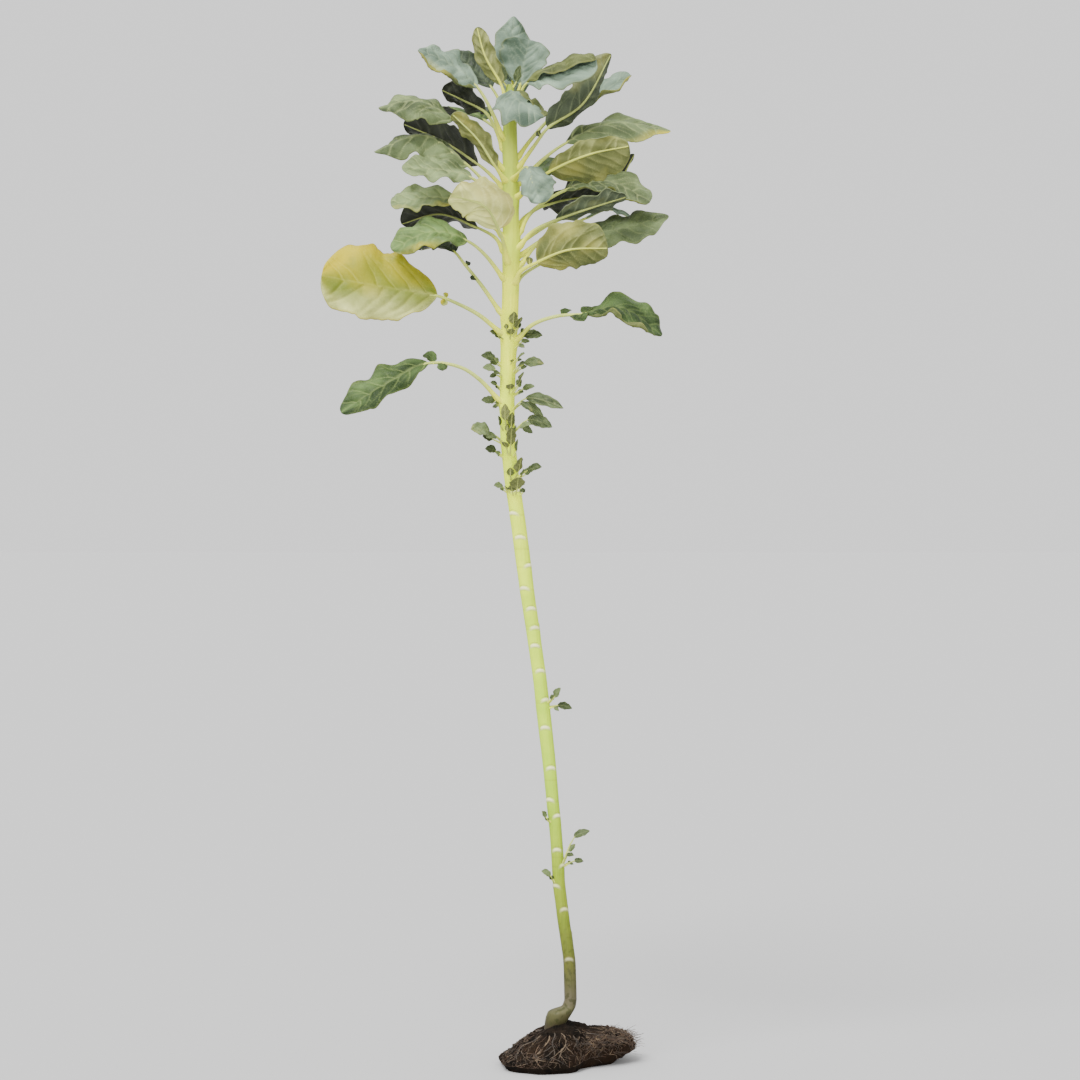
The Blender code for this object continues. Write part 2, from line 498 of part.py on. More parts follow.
def leaf_faces(skin):
    """Triangles of a leaf whose sections each hold the upper points, then the lower ones backwards."""
    sections, count = skin.shape[:2]
    around = 2 * count

    def spot(i, j, below):
        return i * around + (around - 1 - j if below else j)

    faces = []
    for i in range(sections - 1):
        for j in range(count - 1):
            one = np.linalg.norm(skin[i, j] - skin[i + 1, j + 1])
            other = np.linalg.norm(skin[i + 1, j] - skin[i, j + 1])
            for below in (False, True):
                a = spot(i, j, below)
                b = spot(i, j + 1, below)
                c = spot(i + 1, j + 1, below)
                d = spot(i + 1, j, below)
                faces += [(a, b, c), (a, c, d)] if one <= other else [(a, b, d), (b, c, d)]
        for j in (0, count - 1):
            faces.append((spot(i, j, False), spot(i + 1, j, False), spot(i + 1, j, True)))
            faces.append((spot(i, j, False), spot(i + 1, j, True), spot(i, j, True)))
    for i in (0, sections - 1):
        for j in range(count - 1):
            faces.append((spot(i, j, False), spot(i, j + 1, True), spot(i, j + 1, False)))
            faces.append((spot(i, j, False), spot(i, j, True), spot(i, j + 1, True)))
    return faces


def stem_at(height):
    """Middle point and radius of the stem at a height."""
    heights, places, radii = np.array(STEM_LINE).T
    middle = np.array([np.interp(height, heights, places), 0.0, height])
    return middle, float(np.interp(height, heights, radii))


def scars():
    """Height and bearing of every leaf scar, front and back."""
    lowest, highest, count = BACK_SCAR_HEIGHTS
    first, step, span = BACK_SCAR_BEARINGS
    heights = np.linspace(lowest, highest, count)
    return [*FRONT_SCARS, *((height, first + (step * i) % span) for i, height in enumerate(heights))]


def stem_mesh():
    """The stem as a loft of round sections, raised by a formula where a leaf has fallen."""
    marks = scars()
    heights = [row[0] for row in STEM_LINE]
    for mark_height, _ in marks:
        heights = [height for height in heights if abs(height - mark_height) >= 2 * SCAR_HALF_HEIGHT]
        heights += [mark_height - SCAR_HALF_HEIGHT, mark_height, mark_height + SCAR_HALF_HEIGHT]
    heights.sort()
    points = []
    for height in heights:
        middle, radius = stem_at(height)
        for side in range(STEM_SIDES):
            bearing = 360 * side / STEM_SIDES
            relief = 0
            for mark_height, mark_bearing in marks:
                off = (bearing - mark_bearing + 180) % 360 - 180
                rise = (height - mark_height) / (0.6 * SCAR_HALF_HEIGHT)
                relief = max(relief, SCAR_RELIEF * math.exp(-(off / SCAR_SPREAD) ** 2 - rise ** 2))
            points.append(middle + (radius + relief) * compass(bearing))
    return points, tube_faces(len(heights), STEM_SIDES)


def tube_faces(sections, sides):
    """Triangles between closed sections that follow each other, and a flat cap at both ends."""
    faces = []
    for i in range(sections - 1):
        for j in range(sides):
            k = (j + 1) % sides
            faces.append((i * sides + j, i * sides + k, (i + 1) * sides + k))
            faces.append((i * sides + j, (i + 1) * sides + k, (i + 1) * sides + j))
    faces.append(tuple(range(sides - 1, -1, -1)))
    faces.append(tuple(range((sections - 1) * sides, sections * sides)))
    return faces


def shoot_leaf_mesh(row, seed):
    height, bearing, out, rise, length, half_width, pitch = row
    middle, radius = stem_at(height)
    outward = compass(bearing)
    start = middle + (radius - SHOOT_SUNK) * outward
    heel = middle + (radius + out) * outward + np.array([0, 0, rise])
    way = outward * math.cos(math.radians(pitch)) + np.array([0, 0, math.sin(math.radians(pitch))])
    middle_blade = heel + 0.5 * length * way
    tip = heel + length * way - np.array([0, 0, 0.12 * length])
    face = np.array([0, 0, 1.0]) - 0.6 * outward + SHOOT_TURN * abs(outward[0]) * compass(270)
    return leaf_mesh(
        start, outward, (), (heel, middle_blade, tip), face, (half_width, half_width),
        outline=(0.6, 0.5), wave=(0.0015, 1.5), radii=SHOOT_STALK_RADII, seed=seed,
        columns=(1.0,), stalk_steps=1, blade_steps=3)


def rightness(bearing):
    """1 at the clod's right end, 0 from its front, left and back."""
    return max(math.cos(math.radians(bearing)), 0) ** 2


def clod_point(bearing, down):
    """A point of the clod's surface: down is 0 at the top of the middle and 1 at its widest part."""
    turned = bearing % 360
    reach = np.interp(turned, CLOD_BEARINGS, CLOD_REACH)
    squareness = CLOD_SQUARENESS[0] + CLOD_SQUARENESS[1] * math.cos(math.radians(turned))
    angle = math.radians(90 * (1 - down))
    out = reach * max(math.cos(angle), 0) ** (2 / squareness)
    high = max(math.sin(angle), 0) ** (2 / squareness)
    point = np.array([*CLOD_MIDDLE, 0.0]) + out * compass(turned)
    shoulder = min(max(point[0] / CLOD_SHOULDER, 0), 1)
    bulge = CLOD_BULGE + CLOD_LIFT * rightness(turned)
    point[2] = bulge + (CLOD_HEIGHT - CLOD_DROP * shoulder - bulge) * high
    waves = math.sin(58 * point[0] + 1.3) * math.sin(71 * point[1] + 0.4)
    waves += math.sin(95 * point[2] + 43 * point[0])
    lump = CLOD_LUMPS * waves * min(1, 3 * down) * out / reach
    return point + lump * compass(turned)


def clod_mesh():
    bearings = [360 * i / CLOD_SEGMENTS for i in range(CLOD_SEGMENTS)]
    rings = [[clod_point(bearing, down) for bearing in bearings]
             for down in np.linspace(1, 0, CLOD_RINGS + 1)[:-1]]
    middle = np.array([*CLOD_MIDDLE, 0.0])
    foot = [(middle + (CLOD_FOOT - CLOD_TUCK * rightness(bearing)) * (point - middle)) * (1, 1, 0)
            for bearing, point in zip(bearings, rings[0])]
    points = [point for ring in [foot, *rings] for point in ring]
    return points, tube_faces(CLOD_RINGS + 1, CLOD_SEGMENTS)


def root_mesh(row, extra=0.0):
    """A tapering root that runs from the collar down over the clod, half sunk in it."""
    first, last, end = row
    shares = np.linspace(0, 1, ROOT_POINTS)
    middle, radius = stem_at(ROOT_HEIGHT)
    path = [middle + (radius - ROOT_SUNK) * compass(first)]
    for share in shares:
        bearing = first + (last - first) * share + ROOT_SWING[0] * math.sin(ROOT_SWING[1] * share + first)
        path.append(clod_point(bearing, ROOT_START + (end - ROOT_START) * share))
    path = np.array(path)
    path[1:, 2] = np.maximum(path[1:, 2], 2.2 * ROOT_RADII[1])
    ways = np.gradient(path, axis=0)
    ways = ways / np.linalg.norm(ways, axis=1)[:, None]
    normals = carried_normals(ways, 0, (0, 0, 1))
    path[-1] += extra * ways[-1]
    points = []
    for i, (point, way, normal) in enumerate(zip(path, ways, normals)):
        share = max(i - 1, 0) / (len(path) - 2)
        radius = ROOT_RADII[0] + (ROOT_RADII[1] - ROOT_RADII[0]) * share + extra
        for side in range(ROOT_SIDES):
            angle = 2 * math.pi * side / ROOT_SIDES
            around = math.cos(angle) * np.cross(way, normal) + math.sin(angle) * normal
            points.append(point + radius * around)
    return points, tube_faces(len(path), ROOT_SIDES)


def combine(target, others, operation):
    """One applied Boolean of a whole collection on the target; the collection's objects are removed."""
    others.hide_render = True
    cut = target.modifiers.new(operation.lower(), "BOOLEAN")
    cut.operation = operation
    cut.operand_type = "COLLECTION"
    cut.collection = others
    cut.solver = "MANIFOLD"
    bpy.context.view_layer.update()
    result = bpy.data.meshes.new_from_object(target.evaluated_get(bpy.context.evaluated_depsgraph_get()))
    target.modifiers.remove(cut)
    target.data = result
    for item in list(others.objects):
        bpy.data.objects.remove(item, do_unlink=True)
    bpy.data.collections.remove(others)


def keep_largest_body(item):
    """Drops loose scraps that a Boolean leaves."""
    shape = bmesh.new()
    shape.from_mesh(item.data)
    left = set(shape.faces)
    bodies = []
    while left:
        body = {left.pop()}
        border = list(body)
        while border:
            near = {other for face in border for edge in face.edges for other in edge.link_faces} - body
            body |= near
            border = list(near)
        left -= body
        bodies.append(body)
    largest = max(bodies, key=lambda body: sum(face.calc_area() for face in body))
    bmesh.ops.delete(shape, geom=[face for face in shape.faces if face not in largest], context="FACES")
    shape.to_mesh(item.data)
    shape.free()


def build_stem(parts):
    stem = add_object("stem", *stem_mesh(), parts, "stem")
    grown = new_collection("grown_on_stem")
    for seed, row in enumerate(SHOOT_LEAVES):
        add_object(f"shoot_{seed}", *shoot_leaf_mesh(row, seed), grown, "stem")
    for number, row in enumerate(ROOTS):
        add_object(f"root_{number}", *root_mesh(row), grown, "stem")
    combine(stem, grown, "UNION")
    stem.data.name = "stem"
    return stem


def build_clod(parts):
    clod = add_object("soil_clod", *clod_mesh(), parts, "soil")
    holes = new_collection("holes")
    lowest = STEM_LINE[0][0]
    rows = [row for row in STEM_LINE if row[0] < 0.13]
    points = []
    for height, place, radius in rows:
        low = CLEARANCE if height == lowest else 0.0
        for side in range(STEM_SIDES):
            middle = np.array([place, 0.0, height - low])
            points.append(middle + (radius + CLEARANCE) / math.cos(math.pi / STEM_SIDES)
                          * compass(360 * side / STEM_SIDES))
    add_object("hole_stem", points, tube_faces(len(rows), STEM_SIDES), holes, "soil")
    for number, row in enumerate(ROOTS):
        add_object(f"groove_{number}", *root_mesh(row, ROOT_ROOM), holes, "soil")
    combine(clod, holes, "DIFFERENCE")
    keep_largest_body(clod)
    return clod


def build_leaf(name, row, parts):
    values = dict(row)
    height = values.pop("stem")
    stalk = values.pop("stalk", ())
    blade = values.pop("blade")
    tone = values.pop("tone")
    middle, radius = stem_at(height)
    radius = max(radius, stem_at(height - 0.01)[1], stem_at(height + 0.01)[1])
    first = np.array((*stalk, *blade)[0])
    outward = unit((first - middle) * (1, 1, 0))
    start = middle + (radius + 2 * CLEARANCE) * outward
    if name.startswith("top"):
        values["radii"] = TOP_STALK_RADII
    if values.pop("small", False):
        values["blade_steps"] = SMALL_BLADE_STEPS
    points, faces = leaf_mesh(start, outward, stalk, blade, values.pop("face"), values.pop("width"), **values)
    return add_object(name, points, faces, parts, tone)


def main():
    clear_scene()
    parts = new_collection("walking_stick_kale")
    build_stem(parts)
    build_clod(parts)
    for name, row in LEAVES.items():
        build_leaf(name, row, parts)


main()
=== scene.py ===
import math

import bpy
import numpy as np
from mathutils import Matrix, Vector, noise


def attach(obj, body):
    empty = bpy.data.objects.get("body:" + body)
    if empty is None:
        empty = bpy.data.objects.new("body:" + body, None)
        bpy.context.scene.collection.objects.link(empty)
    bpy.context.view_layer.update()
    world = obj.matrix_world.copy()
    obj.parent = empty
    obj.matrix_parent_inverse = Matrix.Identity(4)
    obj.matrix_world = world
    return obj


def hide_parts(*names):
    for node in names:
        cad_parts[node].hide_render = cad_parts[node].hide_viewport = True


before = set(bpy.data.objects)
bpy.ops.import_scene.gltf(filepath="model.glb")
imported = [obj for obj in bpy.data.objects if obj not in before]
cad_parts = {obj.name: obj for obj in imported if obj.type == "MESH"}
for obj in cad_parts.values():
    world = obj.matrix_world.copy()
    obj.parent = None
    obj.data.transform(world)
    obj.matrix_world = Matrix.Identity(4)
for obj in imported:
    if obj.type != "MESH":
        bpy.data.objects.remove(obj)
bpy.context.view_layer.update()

print("walking stick kale: frame loaded")
bpy.ops.object.select_all(action="DESELECT")


def unit(vector):
    vector = np.asarray(vector, float)
    return vector / np.linalg.norm(vector)


def compass(bearing):  # 0 right, 90 back, 270 front
    angle = math.radians(bearing)
    return np.array([math.cos(angle), math.sin(angle), 0.0])


def ramp(value, low, high):  # 0 below low, 1 above high, smooth between
    share = np.clip((value - low) / (high - low), 0, 1)
    return share * share * (3 - 2 * share)


def gridPiece(name, points):  # a grid primitive whose points are moved to these places
    rows, columns = points.shape[:2]
    bpy.ops.object.select_all(action="DESELECT")
    bpy.ops.mesh.primitive_grid_add(x_subdivisions=columns - 1, y_subdivisions=rows - 1, size=1)
    piece = bpy.context.active_object
    piece.name = piece.data.name = name
    piece.data.vertices.foreach_set("co", points.astype(np.float32).ravel())
    piece.data.update()
    return piece


def paint(piece, layerName, values):  # one colour for each point
    layer = piece.data.color_attributes.new(name=layerName, type="FLOAT_COLOR", domain="POINT")
    layer.data.foreach_set("color", np.asarray(values, np.float32).ravel())


def closedTube(name, rings, layerName=None, values=None):  # rings of points become a capped tube
    piece = gridPiece(name, np.concatenate([rings, rings[:, :1]], axis=1))
    if layerName:
        paint(piece, layerName, np.concatenate([values, values[:, :1]], axis=1))
    bpy.ops.object.mode_set(mode="EDIT")
    bpy.ops.mesh.select_all(action="SELECT")
    bpy.ops.mesh.remove_doubles(threshold=0.000001)
    bpy.ops.mesh.fill_holes(sides=0)
    bpy.ops.mesh.normals_make_consistent(inside=False)
    bpy.ops.object.mode_set(mode="OBJECT")
    bpy.ops.object.shade_smooth_by_angle(angle=math.radians(50))
    return piece


def joinPieces(pieces, name):
    bpy.ops.object.select_all(action="DESELECT")
    for piece in pieces:
        piece.select_set(True)
    bpy.context.view_layer.objects.active = pieces[0]
    bpy.ops.object.join()
    joined = bpy.context.active_object
    joined.name = joined.data.name = name
    return joined


def keepPiece(piece, nodeName):  # the piece stands for that node
    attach(piece, "root")
    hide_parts(nodeName)


def newMaterial(name):
    material = bpy.data.materials.new(name)
    material.use_nodes = True
    tree = material.node_tree
    return material, tree, tree.nodes["Principled BSDF"]


def addNode(tree, kind, settings=None, **inputs):
    node = tree.nodes.new(kind)
    for key, value in (settings or {}).items():
        setattr(node, key, value)
    for key, value in inputs.items():
        node.inputs[key.replace("_", " ")].default_value = value
    return node


def mixColour(tree, factor, first, second, blend="MIX"):
    node = tree.nodes.new("ShaderNodeMix")
    node.data_type = "RGBA"
    node.blend_type = blend
    for socket, value in ((node.inputs[0], factor), (node.inputs[6], first), (node.inputs[7], second)):
        if isinstance(value, bpy.types.NodeSocket):
            tree.links.new(value, socket)
        else:
            socket.default_value = (*value, 1) if isinstance(value, tuple) else value
    return node.outputs[2]


def maths(tree, operation, first, second=0.0):
    node = tree.nodes.new("ShaderNodeMath")
    node.operation = operation
    node.use_clamp = True
    for socket, value in ((node.inputs[0], first), (node.inputs[1], second)):
        if isinstance(value, bpy.types.NodeSocket):
            tree.links.new(value, socket)
        else:
            socket.default_value = value
    return node.outputs[0]


def product(tree, first, second):
    return maths(tree, "MULTIPLY", first, second)


def total(tree, first, second):
    return maths(tree, "ADD", first, second)


def paintedParts(tree, layerName):  # the four values that paint() gave each point
    fields = addNode(tree, "ShaderNodeVertexColor", {"layer_name": layerName})
    parts = addNode(tree, "ShaderNodeSeparateColor")
    tree.links.new(fields.outputs["Color"], parts.inputs["Color"])
    return [parts.outputs[name] for name in ("Red", "Green", "Blue")] + [fields.outputs["Alpha"]]


def placeOn(tree):  # a point of the object, for its patterns
    return addNode(tree, "ShaderNodeTexCoord").outputs["Object"]


def spread(tree, value, low, high):  # stretches low..high to 0..1
    node = addNode(tree, "ShaderNodeMapRange", From_Min=low, From_Max=high)
    tree.links.new(value, node.inputs["Value"])
    return node.outputs["Result"]


def noiseAt(tree, place, scale, detail=3.0):
    node = addNode(tree, "ShaderNodeTexNoise", Scale=scale, Detail=detail)
    tree.links.new(place, node.inputs["Vector"])
    return node.outputs["Fac"]


def bumpBy(tree, shader, height, strength, distance):
    node = addNode(tree, "ShaderNodeBump", Strength=strength, Distance=distance)
    tree.links.new(height, node.inputs["Height"])
    tree.links.new(node.outputs["Normal"], shader.inputs["Normal"])


# Leaf finishes: the colours of the body, the bloom (the waxy coat, and painted light where a leaf looks
# sunlit), the veins, the edge and the age (where it yellows), how rough its sheen is, and how strongly
# the veins show.
leafFinishes = {
    "upperGlaucous": dict(body=(0.034, 0.060, 0.037), bloomAndLight=(0.220, 0.305, 0.220),
                          vein=(0.30, 0.38, 0.23), edge=(0.17, 0.20, 0.08), age=(0.32, 0.29, 0.030),
                          rough=0.58, veins=0.36),
    "upperSage": dict(body=(0.021, 0.034, 0.010), bloomAndLight=(0.185, 0.245, 0.100), vein=(0.33, 0.38, 0.15),
                      edge=(0.15, 0.18, 0.06), age=(0.40, 0.34, 0.020), rough=0.56, veins=0.55),
    "upperGreen": dict(body=(0.011, 0.026, 0.004), bloomAndLight=(0.125, 0.205, 0.058), vein=(0.27, 0.35, 0.10),
                       edge=(0.11, 0.14, 0.03), age=(0.42, 0.34, 0.010), rough=0.56, veins=0.50),
    # The dark upper finish: near-black greens, partly the leaf's own dark green and partly painted shade
    # for leaves in the crown's shadow
    "upperDarkAndShade": dict(body=(0.012, 0.019, 0.009), bloomAndLight=(0.050, 0.071, 0.042), vein=(0.10, 0.13, 0.06),
                      edge=(0.07, 0.09, 0.03), age=(0.16, 0.16, 0.02), rough=0.56, veins=0.50),
    "upperPale": dict(body=(0.20, 0.23, 0.07), bloomAndLight=(0.45, 0.46, 0.16), vein=(0.52, 0.52, 0.20),
                      edge=(0.38, 0.38, 0.12), age=(0.40, 0.34, 0.06), rough=0.60, veins=0.60),
    "upperYellow": dict(body=(0.125, 0.158, 0.010), bloomAndLight=(0.52, 0.54, 0.190), vein=(0.46, 0.46, 0.10),
                        edge=(0.34, 0.28, 0.03), age=(0.42, 0.345, 0.003), rough=0.60, veins=0.26),
    "underOlive": dict(body=(0.060, 0.076, 0.018), bloomAndLight=(0.210, 0.228, 0.072), vein=(0.36, 0.37, 0.12),
                       edge=(0.22, 0.23, 0.05), age=(0.34, 0.31, 0.04), rough=0.60, veins=0.48),
    "underMoss": dict(body=(0.022, 0.030, 0.006), bloomAndLight=(0.095, 0.114, 0.031), vein=(0.20, 0.23, 0.07),
                      edge=(0.20, 0.21, 0.06), age=(0.28, 0.26, 0.03), rough=0.60, veins=0.55),
    # The dark under finish: near-black greens, partly painted shade for undersides in the crown's shadow
    "underDarkAndShade": dict(body=(0.011, 0.014, 0.008), bloomAndLight=(0.041, 0.047, 0.030), vein=(0.064, 0.070, 0.038),
                      edge=(0.055, 0.060, 0.026), age=(0.11, 0.11, 0.01), rough=0.64, veins=0.60),
    "underGrey": dict(body=(0.023, 0.032, 0.016), bloomAndLight=(0.108, 0.136, 0.076), vein=(0.17, 0.20, 0.10),
                      edge=(0.20, 0.22, 0.09), age=(0.26, 0.25, 0.05), rough=0.62, veins=0.60),
    "underPale": dict(body=(0.33, 0.34, 0.085), bloomAndLight=(0.80, 0.82, 0.28), vein=(0.88, 0.88, 0.36),
                      edge=(0.50, 0.50, 0.14), age=(0.46, 0.36, 0.07), rough=0.60, veins=0.65),
    "stalk": dict(body=(0.25, 0.32, 0.070), bloomAndLight=(0.56, 0.64, 0.190), vein=(0.52, 0.58, 0.20),
                  edge=(0.040, 0.050, 0.018), age=(0.74, 0.77, 0.06), rough=0.48, veins=0.50),
}


leafSkin = {
    "patches": 34.0,  # how many to a metre
    "leastBloomAndLight": 0.35,
    "leastAge": 0.55,
    "speckle": 420.0,
    "net": 230.0,
    "netWidth": 0.09,
    "netTint": 0.16,
    "edgeTint": 0.6,
    "crinkles": 95.0,
    "bump": (0.55, 0.0030),
    "shine": 0.16,
    "sheen": 0.03,
}


def leafMaterial(name, body, bloomAndLight, vein, edge, age, rough, veins):
    material, tree, shader = newMaterial(name)
    place = placeOn(tree)
    veinPart, edgePart, agePart, waxAndLightPart = paintedParts(tree, "leafPaint")
    patches = spread(tree, noiseAt(tree, place, leafSkin["patches"]), 0.30, 0.70)
    speckle = noiseAt(tree, place, leafSkin["speckle"], 4.0)
    # the bloom share: the waxy coat, and painted light that brightens the leaves that look sunlit
    waxAndLightShare = product(tree, waxAndLightPart, total(tree, patches, leafSkin["leastBloomAndLight"]))
    colour = mixColour(tree, waxAndLightShare, body, bloomAndLight)
    yellowing = product(tree, agePart, total(tree, patches, leafSkin["leastAge"]))
    colour = mixColour(tree, yellowing, colour, age)
    net = addNode(tree, "ShaderNodeTexVoronoi", {"feature": "DISTANCE_TO_EDGE"}, Scale=leafSkin["net"])
    tree.links.new(place, net.inputs["Vector"])
    netLine = spread(tree, net.outputs["Distance"], leafSkin["netWidth"], 0.0)  # 1 on the finest veins
    colour = mixColour(tree, product(tree, netLine, leafSkin["netTint"] * veins), colour, vein)
    colour = mixColour(tree, product(tree, veinPart, veins), colour, vein)
    colour = mixColour(tree, product(tree, edgePart, leafSkin["edgeTint"]), colour, edge)
    colour = mixColour(tree, 0.10, colour, speckle, "SOFT_LIGHT")
    tree.links.new(colour, shader.inputs["Base Color"])
    tree.links.new(spread(tree, patches, -1.5, 2.2), shader.inputs["Roughness"])
    shader.inputs["Specular IOR Level"].default_value = leafSkin["shine"]
    shader.inputs["Sheen Weight"].default_value = leafSkin["sheen"]
    shader.inputs["Sheen Roughness"].default_value = rough
    crinkles = noiseAt(tree, place, leafSkin["crinkles"], 4.0)
    height = total(tree, product(tree, netLine, 0.12), product(tree, speckle, 0.16))
    height = total(tree, height, product(tree, crinkles, 0.7))
    bumpBy(tree, shader, height, *leafSkin["bump"])
    return material


leafMaterials = {name: leafMaterial(name, **finish) for name, finish in leafFinishes.items()}
print("walking stick kale: leaf finishes ready")


# the stem's line
stemPlan = {
    "line": (  # height, place to the side, radius
        (0.030, -0.030, 0.009), (0.052, -0.026, 0.016), (0.077, -0.0205, 0.0198),
        (0.089, -0.0155, 0.0228), (0.100, -0.0100, 0.0240), (0.105, -0.0025, 0.0195),
        (0.109, 0.0055, 0.0130), (0.121, 0.0085, 0.0118), (0.196, 0.0066, 0.0113),
        (0.272, -0.005, 0.0113), (0.347, -0.014, 0.0113), (0.423, -0.018, 0.0113),
        (0.498, -0.025, 0.0116), (0.573, -0.032, 0.0123), (0.649, -0.0405, 0.0130),
        (0.724, -0.049, 0.0126), (0.800, -0.060, 0.0126),
        (0.875, -0.071, 0.0132), (0.950, -0.081, 0.0138), (1.026, -0.0905, 0.0141),
        (1.101, -0.102, 0.0141), (1.177, -0.110, 0.0139), (1.252, -0.111, 0.0138),
        (1.327, -0.109, 0.0150), (1.403, -0.106, 0.0155), (1.478, -0.104, 0.0160),
        (1.554, -0.104, 0.0158), (1.629, -0.104, 0.0150), (1.704, -0.105, 0.0141),
        (1.761, -0.1055, 0.0132), (1.799, -0.1055, 0.0120), (1.827, -0.1055, 0.0098),
        (1.846, -0.1055, 0.0055)),
    "scars": (  # height and bearing of each leaf scar
        (0.200, 270), (0.294, 295), (0.338, 230), (0.377, 332), (0.406, 270), (0.470, 305),
        (0.500, 235), (0.560, 282), (0.636, 268), (0.688, 305), (0.743, 287), (0.790, 270),
        (0.824, 295), (0.860, 287), (0.898, 245), (0.941, 319), (0.994, 270), (1.039, 233),
        (1.082, 294), (0.250, 40), (0.395, 67.5), (0.540, 95), (0.685, 122.5), (0.830, 40),
        (0.975, 67.5), (1.120, 95)),
    "rings": 880,
    "sides": 40,
}


def stemAt(height):  # middle and radius of the bare stem at a height
    heights, places, radii = np.array(stemPlan["line"]).T
    return (np.array([np.interp(height, heights, places), 0.0, height]),
            float(np.interp(height, heights, radii)))
